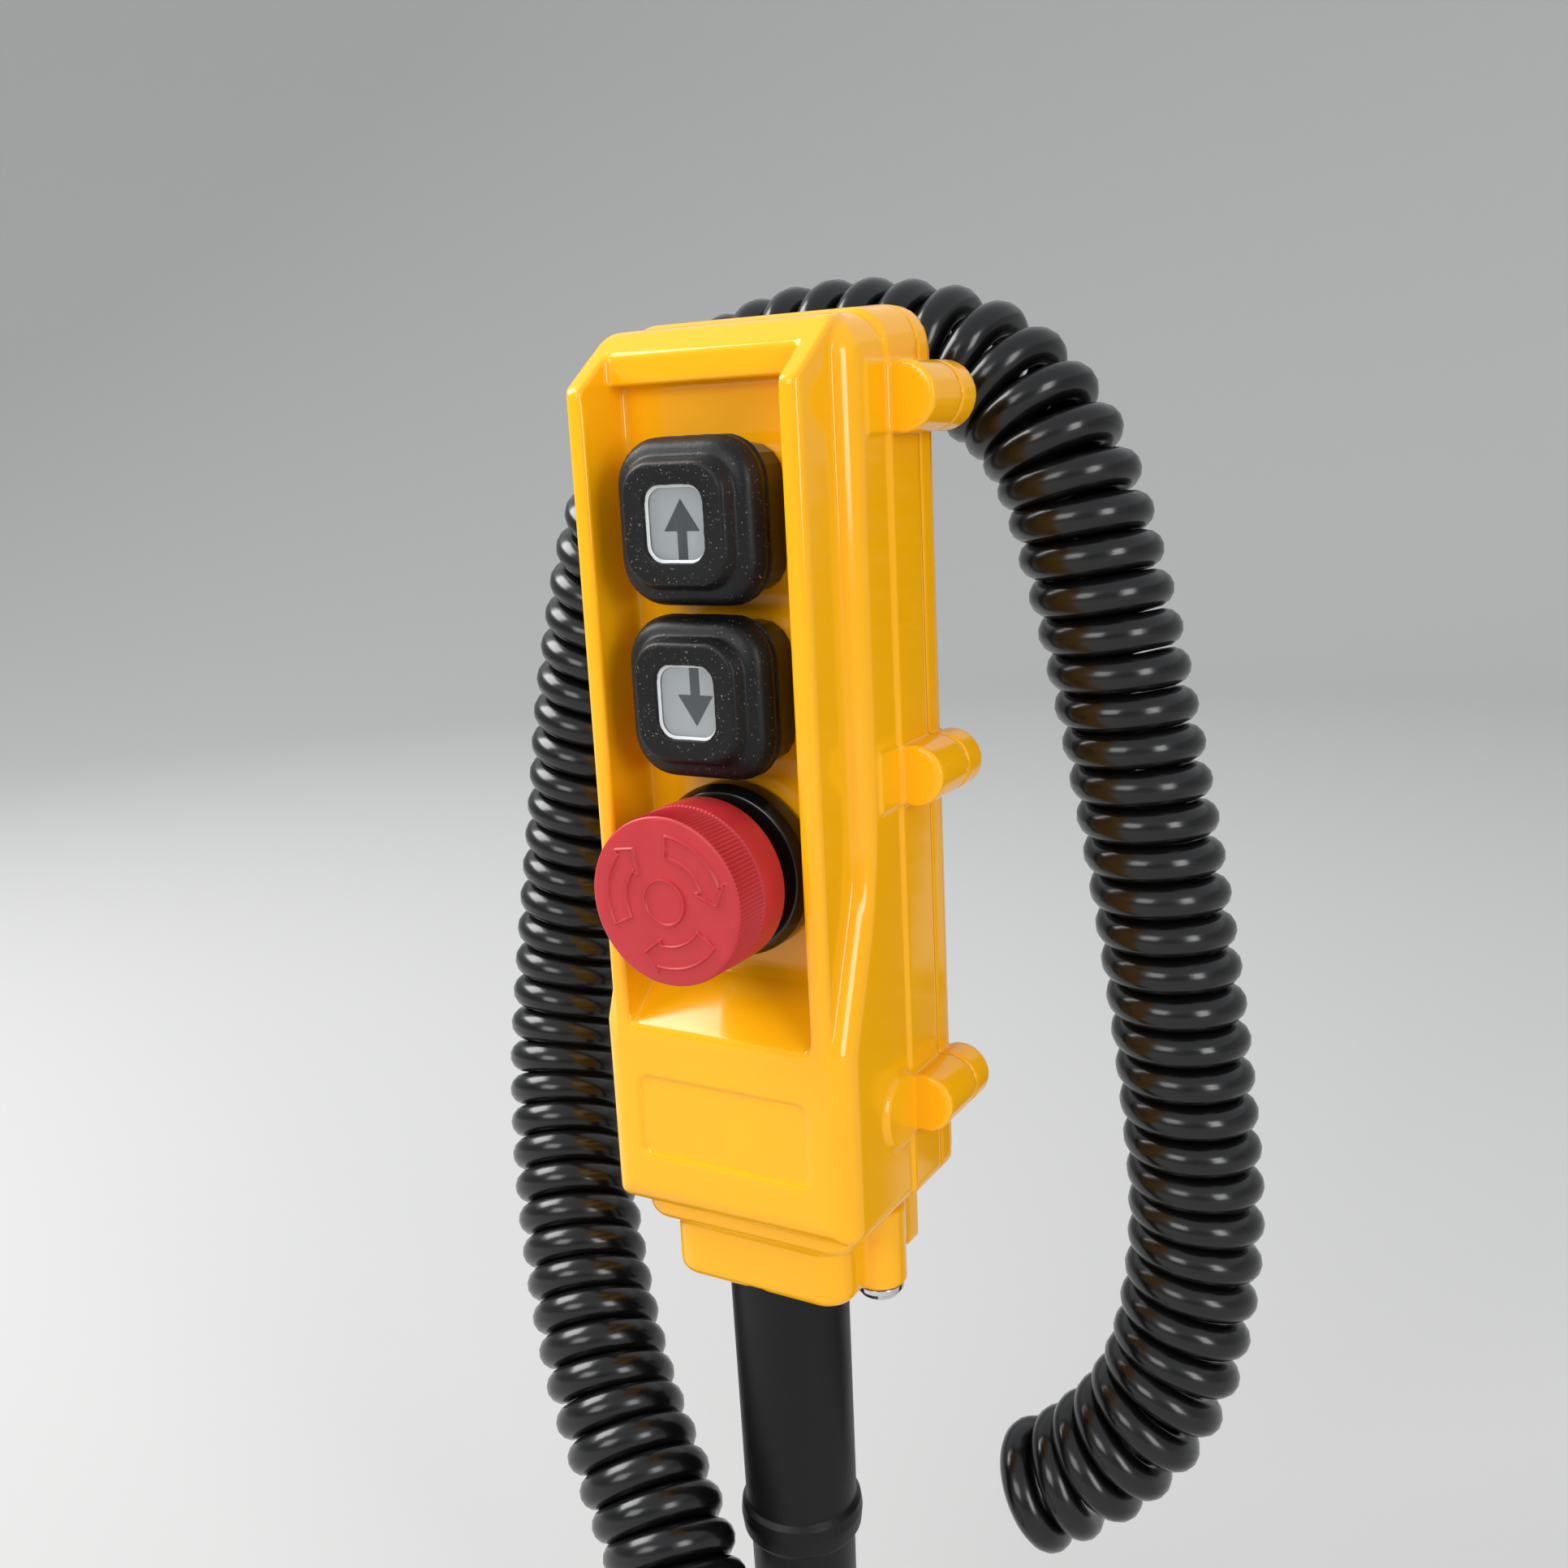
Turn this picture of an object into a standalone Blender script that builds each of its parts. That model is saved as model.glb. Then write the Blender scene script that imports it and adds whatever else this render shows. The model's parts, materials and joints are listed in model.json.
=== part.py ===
"""Hand-held pendant control station: two rubber-hooded buttons, a mushroom stop button and a curly cord.

Frame: +Z up, the buttons face -Y, +X to the right of a person who faces the buttons.
The origin is the middle of the housing's flat back face. Sizes below are in millimetres.
"""

import math

import bmesh
import bpy
from mathutils import Vector
from mathutils.geometry import interpolate_bezier

MM = 0.001
GAP = 0.3

# Housing: where its planes stand, from the back face at y = 0
PARTING_Y = -10.0
REAR_STEP_Y = -5.0
FLANGE_Y = -22.4
SHOULDER_Y = -36.5
FLOOR_Y = -35.0
BAND_Y = -39.5
RAIL_Y = -48.0
TOP_Z = 84.2
TOP_RISE = 2.3
LOW_Z = -85.0
WALL = 2.4

# Housing: widths, corners and the lines of its front
HALF_WIDTH = 27.6
FLANGE_OUT = 0.6
SIDE_CORNER = 5.3
TOP_CORNER = 7.5
TOP_FRONT_CORNER = 5.0
LOW_CORNER = 3.0
RAIL_HALF = 24.2
RAIL_CORNER = 2.2
RECESS_HALF = 20.3
SLOPE_LOW_Z = 74.0
SLOPE_RISE = 0.73
RECESS_TOP_Z = 74.7
BLOCK_TOP_Z = -46.0
RAMP_END_Z = -35.6
WEDGE_TOP_Z = -15.0
LABEL_HALF = 18.8
LABEL_LOW_Z = -72.6
LABEL_TOP_Z = -56.2
LABEL_DEPTH = 0.5

# Lip and collar under the housing, where the cable leaves
LIP_HALF = 23.8
LIP_FRONT_Y = -44.0
LIP_LOW_Z = -90.0
COLLAR_HALF = 20.0
COLLAR_FRONT_Y = -40.0
COLLAR_LOW_Z = -103.5
COLLAR_CORNER = 6.0
ANCHOR_X = 20.0
ANCHOR_Y = -23.5
ANCHOR_RADIUS = 5.5

# Screw lugs: height and radius of each pair, from the top
LUG_X = 30.6
LUG_FRONT_Y = -22.3
LUG_REAR_Y = -3.3
LUGS = ((70.3, 6.4), (1.5, 5.8), (-64.0, 5.8))

# Controls on the recess floor
UP_Z = 50.5
DOWN_Z = 19.0
STOP_Z = -15.0
STEM_HOLE = 5.2
BUSH_HOLE = 8.3

# Cable sleeve and cord
CABLE_Y = -26.0
CABLE_RADIUS = 3.65
SLEEVE_TOP_Z = -93.0
SLEEVE_LOW_Z = -190.0
COIL_RADIUS = 14.0
CLAMP_Z = -76.0
CLAMP_SCREW_X = 11.0
CLAMP_BORE_Y = -43.0
PLUG_X = 58.0
PLUG_Y = 55.0
PLUG_LOW_Z = -114.7


def material(name, rgb, roughness, metallic=0.0):
    made = bpy.data.materials.new(name)
    made.use_nodes = True
    shader = made.node_tree.nodes["Principled BSDF"]
    shader.inputs["Base Color"].default_value = (*rgb, 1.0)
    shader.inputs["Roughness"].default_value = roughness
    shader.inputs["Metallic"].default_value = metallic
    return made


# Shapes: each is a list of points in millimetres and a list of faces


def loft(rings, closed=False):
    """Skin over rings of equal counts: ends get caps, or a closed skin joins its last ring to its first."""
    count = len(rings[0])
    points = [point for ring in rings for point in ring]
    faces = []
    spans = len(rings) if closed else len(rings) - 1
    for row in range(spans):
        low = row * count
        high = (row + 1) % len(rings) * count
        for side in range(count):
            after = (side + 1) % count
            faces.append((low + side, low + after, high + after, high + side))
    if not closed:
        faces.append(tuple(range(count))[::-1])
        faces.append(tuple(range(len(points) - count, len(points))))
    return points, faces


def merged(shapes):
    points, faces = [], []
    for more_points, more_faces in shapes:
        start = len(points)
        points += more_points
        faces += [tuple(start + corner for corner in face) for face in more_faces]
    return points, faces


def prism(outline, axis, start, stop):
    """An outline pushed along an axis. Its points give the other two coordinates in x, y, z order."""

    def at(place, first, second):
        return {"x": (place, first, second), "y": (first, place, second), "z": (first, second, place)}[axis]

    return loft([[at(place, *point) for point in outline] for place in (start, stop)])


def block(low, high):
    outline = [(low[0], low[1]), (high[0], low[1]), (high[0], high[1]), (low[0], high[1])]
    return prism(outline, "z", low[2], high[2])


def turned(profile, centre, axis="y", segments=24, closed=False, phase=0.0):
    """A turned solid: the profile's points are (radius, place along the axis)."""
    rings = []
    for radius, place in profile:
        ring = []
        for step in range(segments):
            angle = 2 * math.pi * (step + phase) / segments
            across = radius * math.cos(angle)
            up = radius * math.sin(angle)
            if axis == "y":
                ring.append((centre[0] + across, place, centre[1] + up))
            elif axis == "x":
                ring.append((place, centre[0] + across, centre[1] + up))
            else:
                ring.append((centre[0] + across, centre[1] + up, place))
        rings.append(ring)
    return loft(rings, closed)


def rounded(half_x, half_z, radius, segments=4):
    """A rounded rectangle about the origin, anticlockwise from its right side."""
    outline = []
    for turn, (side_x, side_z) in enumerate(((1, 1), (-1, 1), (-1, -1), (1, -1))):
        for step in range(segments + 1):
            angle = math.pi / 2 * (turn + step / segments)
            across = side_x * (half_x - radius) + radius * math.cos(angle)
            up = side_z * (half_z - radius) + radius * math.sin(angle)
            outline.append((across, up))
    return outline


def square_loft(stations, centre_z, closed=False, segments=4):
    """Rounded rectangles facing -Y: each station is (out from the recess floor, half x, half z, radius)."""
    rings = []
    for out, half_x, half_z, radius in stations:
        outline = rounded(half_x, half_z, radius, segments)
        rings.append([(across, FLOOR_Y - out, centre_z + up) for across, up in outline])
    return loft(rings, closed)


def add(name, shape, look, origin=(0.0, 0.0, 0.0), angle=30):
    """A named object from a shape. Its own origin is at the given place, in millimetres."""
    mesh = bpy.data.meshes.new(name)
    points, faces = shape
    centre = Vector(origin)
    mesh.from_pydata([(Vector(point) - centre) * MM for point in points], [], faces)
    body = bmesh.new()
    body.from_mesh(mesh)
    bmesh.ops.recalc_face_normals(body, faces=body.faces)
    body.to_mesh(mesh)
    body.free()
    made = bpy.data.objects.new(name, mesh)
    made.location = centre * MM
    bpy.context.scene.collection.objects.link(made)
    mesh.shade_smooth()
    mesh.set_sharp_from_angle(angle=math.radians(angle))
    if look:
        mesh.materials.append(look)
    return made


def change(target, shape, operation, label):
    """Joins a shape to an object, or cuts it out, through a hidden helper."""
    helper = add(f"{target.name}_{label}", shape, None)
    helper.hide_render = True
    helper.display_type = "WIRE"
    modifier = target.modifiers.new(label, "BOOLEAN")
    modifier.operation = operation
    modifier.solver = "EXACT"
    modifier.object = helper


def tube(name, route, radius, look, resolution=2, smooth=6, handles=0.34):
    """A capped tube along a smooth curve through the route's points."""
    spots = [Vector(point) for point in route]
    tangents = []
    for index in range(len(spots)):
        before = spots[max(index - 1, 0)]
        after = spots[min(index + 1, len(spots) - 1)]
        tangents.append((after - before).normalized())
    path = [spots[0]]
    for index in range(len(spots) - 1):
        reach = (spots[index + 1] - spots[index]).length * handles
        knot_a = spots[index] + tangents[index] * reach
        knot_b = spots[index + 1] - tangents[index + 1] * reach
        path += interpolate_bezier(spots[index], knot_a, knot_b, spots[index + 1], smooth + 1)[1:]
    curve = bpy.data.curves.new(name, "CURVE")
    curve.dimensions = "3D"
    curve.bevel_depth = radius * MM
    curve.bevel_resolution = resolution
    curve.use_fill_caps = True
    spline = curve.splines.new("POLY")
    spline.points.add(len(path) - 1)
    for point, place in zip(spline.points, path):
        point.co = (*(place * MM), 1.0)
    curve.materials.append(look)
    made = bpy.data.objects.new(name, curve)
    bpy.context.scene.collection.objects.link(made)
    return made


# Housing


def front_at(z):
    """The front of the main body: set back beside the rails, slanting forward into the lower block."""
    if z >= WEDGE_TOP_Z:
        return SHOULDER_Y
    if z <= BLOCK_TOP_Z:
        return RAIL_Y
    share = (WEDGE_TOP_Z - z) / (WEDGE_TOP_Z - BLOCK_TOP_Z)
    return SHOULDER_Y + share * (RAIL_Y - SHOULDER_Y)


def heights(steps=4):
    """Levels of the housing with the inset of its side at each, round its lower edge and upper corners."""
    levels = []
    for step in range(steps, -1, -2):
        angle = math.pi / 2 * step / steps
        levels.append((LOW_Z + LOW_CORNER * (1 - math.sin(angle)), LOW_CORNER * (1 - math.cos(angle))))
    levels += [(BLOCK_TOP_Z, 0.0), (WEDGE_TOP_Z, 0.0)]
    for step in range(steps + 1):
        angle = math.pi / 2 * step / steps
        levels.append((TOP_Z - TOP_CORNER * (1 - math.sin(angle)), TOP_CORNER * (1 - math.cos(angle))))
    return levels


def lifted(x, y, z):
    """The housing's top rises a little from the shoulder to the parting line: this lifts a point near it."""
    along = min(1.0, (y - SHOULDER_Y) / (PARTING_Y - SHOULDER_Y))
    near = min(1.0, (z - RECESS_TOP_Z + 15.0) / (TOP_Z - RECESS_TOP_Z + 15.0))
    return (x, y, z + TOP_RISE * max(0.0, along) * max(0.0, near))


def level_ring(z, half, front, back, radius, segments=4):
    """One level of the housing: round front corners, square back ones."""
    ring = []
    for side, start in ((-1, math.pi), (1, 1.5 * math.pi)):
        for step in range(segments + 1):
            angle = start + math.pi / 2 * step / segments
            across = side * (half - radius) + radius * math.cos(angle)
            ring.append((across, front + radius + radius * math.sin(angle), z))
    return ring + [(half, back, z), (-half, back, z)]


def body_shape():
    rings = []
    for z, inset in heights():
        low_inset = inset if z < BLOCK_TOP_Z else 0.0
        above = max(0.0, z - (TOP_Z - TOP_FRONT_CORNER))
        top_inset = TOP_FRONT_CORNER - math.sqrt(TOP_FRONT_CORNER**2 - above**2)
        front = front_at(z) + low_inset + top_inset
        ring = level_ring(z, HALF_WIDTH - inset, front, PARTING_Y - GAP / 2, SIDE_CORNER)
        rings.append([lifted(*point) for point in ring])
    return loft(rings)


def band_shape(grow, front, back):
    """A slab of the housing's outline, standing out from the sides by grow."""
    rings = []
    for place in (front, back):
        ring = []
        for z, inset in heights():
            ring.append((HALF_WIDTH + grow - inset, place, z))
        ring[-1] = (ring[-1][0], place, TOP_Z + grow)
        ring = [lifted(*point) for point in ring]
        rings.append(ring + [(-x, y, z) for x, y, z in reversed(ring)])
    return loft(rings)


def rail_shape():
    """The raised tray that carries both side rails, up to the top of the housing."""
    rings = []
    for z, inset in [(BLOCK_TOP_Z - 4.0, 0.0)] + heights()[4:]:
        half = min(RAIL_HALF, HALF_WIDTH - inset - GAP)
        rings.append(level_ring(z, half, RAIL_Y, SHOULDER_Y + 7.0, RAIL_CORNER, 3))
    return loft(rings)


def recess_shape():
    """The channel between the rails, with a ramp at its lower end and the top block's face above."""
    ahead = RAIL_Y - 12.0
    ramp_slope = (RAMP_END_Z - BLOCK_TOP_Z) / (FLOOR_Y - RAIL_Y)
    outline = [
        (FLOOR_Y, RAMP_END_Z),
        (FLOOR_Y, RECESS_TOP_Z),
        (BAND_Y, RECESS_TOP_Z),
        (BAND_Y, TOP_Z + 12.0),
        (ahead, TOP_Z + 12.0),
        (ahead, BLOCK_TOP_Z - 12.0 * ramp_slope),
    ]
    return prism(outline, "x", -RECESS_HALF, RECESS_HALF)


def slope_shape():
    """Everything above the inclined plane that trims the rails and the top block."""
    ahead = RAIL_Y - 12.0
    behind = SHOULDER_Y + 12.0
    outline = [
        (ahead, SLOPE_LOW_Z - 12.0 * SLOPE_RISE),
        (behind, SLOPE_LOW_Z + (behind - RAIL_Y) * SLOPE_RISE),
        (behind, TOP_Z + 20.0),
        (ahead, TOP_Z + 20.0),
    ]
    return prism(outline, "x", -RAIL_HALF - 1.0, RAIL_HALF + 1.0)


def lip_shape(back):
    rings = []
    for z, inset in ((LOW_Z + 2.0, 0.0), (LOW_Z - 1.6, 0.3), (LOW_Z - 3.6, 1.4), (LIP_LOW_Z, 4.0)):
        rings.append(level_ring(z, LIP_HALF - inset, LIP_FRONT_Y + inset, back, 6.0))
    return loft(rings)


def collar_shape(back):
    rings = []
    low = COLLAR_LOW_Z
    for z, inset in ((LIP_LOW_Z + 2.0, 0.0), (low + 2.2, 0.0), (low + 0.7, 0.6), (low, 2.2)):
        rings.append(level_ring(z, COLLAR_HALF - inset, COLLAR_FRONT_Y + inset, back, COLLAR_CORNER))
    return loft(rings)


def lug_shapes(front, rear):
    shapes = []
    for z, radius in LUGS:
        for side in (-1, 1):
            shapes.append(turned([(radius, front), (radius, rear)], (side * LUG_X, z), segments=28))
    return merged(shapes)


def bore_shapes(radius, front, rear):
    shapes = []
    for z, _ in LUGS:
        for side in (-1, 1):
            shapes.append(turned([(radius, front), (radius, rear)], (side * LUG_X, z), segments=12))
    return merged(shapes)


def pad_shapes():
    """Thin pads on the sides where the lugs stand, and a round one by each lowest lug."""
    shapes = []
    reach = HALF_WIDTH + 0.45
    for z, radius in LUGS[:2]:
        for side in (-1, 1):
            low, high = sorted((side * (HALF_WIDTH - 3.0), side * reach))
            shapes.append(block((low, FLANGE_Y - 8.0, z - radius), (high, FLANGE_Y + 2.0, z + radius)))
    for side in (-1, 1):
        ends = [(7.6, side * (HALF_WIDTH - 3.0)), (7.6, side * (reach + 0.3)), (7.0, side * (reach + 0.6))]
        shapes.append(turned(ends, (FLANGE_Y - 4.0, LUGS[2][0]), axis="x", segments=28))
    return merged(shapes)


def hollow_shape(half, low, high, front, back):
    """A chamber with round upright corners, seen from the front, between two heights and two depths."""
    middle = (low + high) / 2
    outline = [(x, middle + z) for x, z in rounded(half, (high - low) / 2, 5.5, 3)]
    return prism(outline, "y", front, back)


def cavity_shapes():
    """The hollow of the front cover: a deep lower part and the shallower part behind the recess floor."""
    half = HALF_WIDTH - WALL
    behind = PARTING_Y + 4.0
    upper = hollow_shape(half, -60.0, TOP_Z - WALL - 0.2, FLOOR_Y + WALL, behind)
    lower = hollow_shape(half - 1.0, LOW_Z + WALL, -50.0, RAIL_Y + WALL, behind + 1.0)
    return upper, lower


def boss_shapes():
    """Two posts in the lower block that take the cable clamp's screws."""
    posts = []
    for side in (-1, 1):
        post = [(3.4, RAIL_Y + 1.0), (3.4, CABLE_Y - 1.0)]
        posts.append(turned(post, (side * CLAMP_SCREW_X, CLAMP_Z), segments=16))
    return merged(posts)


def floor_hole_shapes():
    """Round holes through the recess floor for the controls, and blind ones for the clamp's screws."""
    holes = []
    for z, radius in ((UP_Z, STEM_HOLE), (DOWN_Z, STEM_HOLE), (STOP_Z, BUSH_HOLE)):
        holes.append(turned([(radius, FLOOR_Y - 5.0), (radius, FLOOR_Y + 5.0)], (0.0, z)))
    for side in (-1, 1):
        bore = [(1.6, CLAMP_BORE_Y), (1.6, CABLE_Y)]
        holes.append(turned(bore, (side * CLAMP_SCREW_X, CLAMP_Z), segments=12))
    return merged(holes)


def front_cover(look):
    back = PARTING_Y - GAP / 2
    cover = add("front_cover", body_shape(), look)
    change(cover, rail_shape(), "UNION", "rails")
    change(cover, band_shape(FLANGE_OUT, FLANGE_Y, back), "UNION", "flange")
    change(cover, lip_shape(back), "UNION", "lip")
    change(cover, collar_shape(back), "UNION", "collar")
    anchor = [(ANCHOR_RADIUS, LIP_LOW_Z + 3.0), (ANCHOR_RADIUS, COLLAR_LOW_Z)]
    change(cover, turned(anchor, (ANCHOR_X, ANCHOR_Y), axis="z"), "UNION", "anchor")
    change(cover, lug_shapes(LUG_FRONT_Y, back), "UNION", "lugs")
    change(cover, pad_shapes(), "UNION", "pads")
    change(cover, slope_shape(), "DIFFERENCE", "slope")
    change(cover, recess_shape(), "DIFFERENCE", "recess")
    for number, shape in enumerate(cavity_shapes()):
        change(cover, shape, "DIFFERENCE", f"hollow_{number}")
    change(cover, boss_shapes(), "UNION", "posts")
    change(cover, floor_hole_shapes(), "DIFFERENCE", "holes")
    change(cover, bore_shapes(1.75, -20.5, back + 1.0), "DIFFERENCE", "pilots")
    seat_z = SLEEVE_TOP_Z + 0.4
    sleeve_bore = [(12.7, COLLAR_LOW_Z - 2.0), (12.7, seat_z), (5.2, seat_z), (5.2, LOW_Z + 5.0)]
    change(cover, turned(sleeve_bore, (0.0, CABLE_Y), axis="z"), "DIFFERENCE", "bore")
    anchor_bore = [(2.3, COLLAR_LOW_Z - 2.0), (2.3, -93.0)]
    change(cover, turned(anchor_bore, (ANCHOR_X, ANCHOR_Y), axis="z", segments=12), "DIFFERENCE", "thread")
    label = [(x, z + (LABEL_LOW_Z + LABEL_TOP_Z) / 2) for x, z in rounded(LABEL_HALF, 8.2, 2.2)]
    change(cover, prism(label, "y", RAIL_Y - 3.0, RAIL_Y + LABEL_DEPTH), "DIFFERENCE", "label")
    return cover


def rear_ring(y, half, inset, grow=0.0):
    ring = []
    for z, corner in heights():
        level = z + inset if z < 0 else z - inset
        ring.append((half - corner, y, level))
    ring[-1] = (ring[-1][0], y, ring[-1][2] + grow)
    ring = [lifted(*point) for point in ring]
    return ring + [(-x, y, z) for x, y, z in reversed(ring)]


def rear_cover(look):
    front = PARTING_Y + GAP / 2
    wide = HALF_WIDTH + FLANGE_OUT
    rings = [
        rear_ring(front, wide, 0.0, FLANGE_OUT),
        rear_ring(REAR_STEP_Y, wide, 0.0, FLANGE_OUT),
        rear_ring(REAR_STEP_Y, wide - 1.1, 1.0),
        rear_ring(-2.2, wide - 1.2, 1.1),
        rear_ring(-0.6, wide - 1.9, 1.8),
        rear_ring(0.0, wide - 3.4, 3.3),
    ]
    cover = add("rear_cover", loft(rings), look)
    tongue = [
        level_ring(LOW_Z + 4.0, LIP_HALF, front, REAR_STEP_Y, 0.2, 1),
        level_ring(LIP_LOW_Z + 1.0, LIP_HALF - 0.8, front, REAR_STEP_Y, 0.2, 1),
        level_ring(LIP_LOW_Z, COLLAR_HALF, front, REAR_STEP_Y, 0.2, 1),
        level_ring(COLLAR_LOW_Z + 1.0, COLLAR_HALF, front, REAR_STEP_Y, 0.2, 1),
        level_ring(COLLAR_LOW_Z, COLLAR_HALF - 1.0, front, REAR_STEP_Y, 0.2, 1),
    ]
    change(cover, loft(tongue), "UNION", "tongue")
    change(cover, lug_shapes(front, LUG_REAR_Y), "UNION", "lugs")
    half = HALF_WIDTH - WALL
    hollow = hollow_shape(half, LOW_Z + WALL, TOP_Z - WALL, front - 2.0, -WALL)
    change(cover, hollow, "DIFFERENCE", "hollow")
    change(cover, groove_shape(front, 0.0), "DIFFERENCE", "groove")
    change(cover, bore_shapes(2.1, front - 1.0, LUG_REAR_Y + 1.0), "DIFFERENCE", "clearance")
    change(cover, bore_shapes(3.9, LUG_REAR_Y - 2.4, LUG_REAR_Y + 8.0), "DIFFERENCE", "counterbores")
    return cover


def groove_shape(front, slack):
    """A ring in the rear cover's rim: rectangular in section, 1.3 mm wide and 1.6 mm deep."""
    stations = []
    top = TOP_Z + TOP_RISE
    middle = (top + LOW_Z) / 2
    tall = (top - LOW_Z) / 2 - 0.6
    wide = HALF_WIDTH - 0.5
    for inset, y in ((0.0, front - 1.0), (0.0, front + 1.6), (1.3, front + 1.6), (1.3, front - 1.0)):
        away = inset + slack if inset == 0.0 else inset - slack
        place = y - slack if y > front else y + 1.0
        outline = rounded(wide - away, tall - away, TOP_CORNER - 1.0 - away)
        stations.append([(x, place, middle + z) for x, z in outline])
    return loft(stations, closed=True)


def gasket(look):
    return add("cover_gasket", groove_shape(PARTING_Y + GAP / 2, GAP), look)


def cover_screws(look):
    number = 0
    for z, _ in LUGS:
        for side in (-1, 1):
            number += 1
            head = LUG_REAR_Y - 2.1
            x = side * LUG_X
            shank = [(1.4, -19.5), (1.4, head)]
            pan = [(3.2, head), (3.4, head + 0.4), (3.3, head + 1.3), (2.2, head + 1.8)]
            screw = add(f"cover_screw_{number}", turned(shank + pan, (x, z), segments=12), look)
            slot = block((x - 2.3, head + 0.9, z - 0.45), (x + 2.3, head + 3.0, z + 0.45))
            change(screw, slot, "DIFFERENCE", "slot")


# Push buttons


def button_hood(name, z, look):
    """Rubber cap with a raised face and a window, hollow behind so that it can slide over the bezel."""
    outside = [
        (5.8, 14.6, 14.4, 7.5),
        (7.2, 15.2, 15.0, 8.0),
        (9.6, 15.3, 15.1, 8.2),
        (11.6, 14.7, 14.5, 8.0),
        (12.9, 13.4, 13.2, 7.2),
        (13.3, 11.7, 11.6, 5.8),
        (14.2, 10.9, 10.9, 5.2),
        (15.7, 10.3, 10.4, 4.8),
        (16.3, 9.6, 9.7, 4.2),
        (16.3, 6.3, 6.8, 2.4),
    ]
    inside = [
        (15.0, 6.3, 6.8, 2.4),
        (15.0, 8.1, 8.1, 2.4),
        (13.9, 8.1, 8.1, 2.4),
        (13.9, 9.4, 9.4, 3.0),
        (11.2, 9.4, 9.4, 3.0),
        (11.2, 13.9, 13.7, 6.6),
        (5.8, 13.9, 13.7, 6.6),
    ]
    return add(name, square_loft(outside + inside, z, closed=True), look, (0.0, FLOOR_Y, z))


def button_bezel(name, z, look):
    stations = [
        (GAP, 13.4, 13.2, 6.2),
        (6.2, 13.4, 13.2, 6.2),
        (7.0, 12.8, 12.6, 5.8),
        (7.0, 9.9, 9.9, 3.2),
        (GAP, 9.9, 9.9, 3.2),
    ]
    return add(name, square_loft(stations, z, closed=True), look, (0.0, FLOOR_Y, z))


def button_plunger(name, z, look):
    head = square_loft([(7.8, 9.0, 9.0, 2.8), (13.6, 9.0, 9.0, 2.8)], z)
    plunger = add(name, head, look, (0.0, FLOOR_Y, z))
    stem = [(4.5, FLOOR_Y - 10.0), (4.5, FLOOR_Y + 1.5), (2.5, FLOOR_Y + 1.5), (2.5, FLOOR_Y + 9.0)]
    change(plunger, turned(stem, (0.0, z), segments=16), "UNION", "stem")
    return plunger


def spring(name, z, start, stop, radius, wire, turns, look):
    """A compression spring along Y between two places, in front of the recess floor."""
    points = []
    per_turn = 10
    total = turns * per_turn
    first = start + wire
    last = stop - wire
    for step in range(total + 1):
        angle = 2 * math.pi * step / per_turn
        out = first + (last - first) * step / total
        points.append((radius * math.cos(angle), FLOOR_Y - out, z + radius * math.sin(angle)))
    curve = bpy.data.curves.new(name, "CURVE")
    curve.dimensions = "3D"
    curve.bevel_depth = wire * MM
    curve.bevel_resolution = 1
    curve.use_fill_caps = True
    spline = curve.splines.new("POLY")
    spline.points.add(len(points) - 1)
    for point, place in zip(spline.points, points):
        point.co = (*(Vector(place) * MM), 1.0)
    curve.materials.append(look)
    made = bpy.data.objects.new(name, curve)
    bpy.context.scene.collection.objects.link(made)
    return made


def push_button(prefix, z, looks):
    button_hood(f"{prefix}_hood", z, looks["rubber"])
    button_bezel(f"{prefix}_bezel", z, looks["black"])
    button_plunger(f"{prefix}_plunger", z, looks["black"])
    plate = square_loft([(14.0, 7.7, 7.7, 2.0), (14.7, 7.7, 7.7, 2.0)], z)
    add(f"{prefix}_legend", plate, looks["silver"], (0.0, FLOOR_Y, z))
    lens = square_loft([(15.0, 5.9, 6.4, 2.1), (15.6, 5.9, 6.4, 2.1), (15.9, 5.5, 6.0, 1.8)], z)
    add(f"{prefix}_lens", lens, looks["clear"], (0.0, FLOOR_Y, z))
    spring(f"{prefix}_spring", z, GAP, 7.5, 6.6, 0.5, 4, looks["steel"])


def contact_block(name, z, front, depth, bore, look, brass):
    """A switch block behind the floor, with a bore for the plunger and two terminal screws on its back."""
    half, tall = 10.5, 11.5
    back = front + depth
    box = add(name, block((-half, front, z - tall), (half, back, z + tall)), look)
    hole = turned([(bore, front - 1.0), (bore, front + 9.5)], (0.0, z), segments=16)
    change(box, hole, "DIFFERENCE", "bore")
    seats = [turned([(2.6, back - 3.0), (2.6, back + 1.0)], (side * 6.0, z), segments=12) for side in (-1, 1)]
    change(box, merged(seats), "DIFFERENCE", "seats")
    for side, label in ((-1, "left"), (1, "right")):
        screw = turned([(2.2, back - 2.7), (2.2, back - 0.6)], (side * 6.0, z), segments=10)
        add(f"{name}_terminal_{label}", screw, brass)


# Stop button


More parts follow.
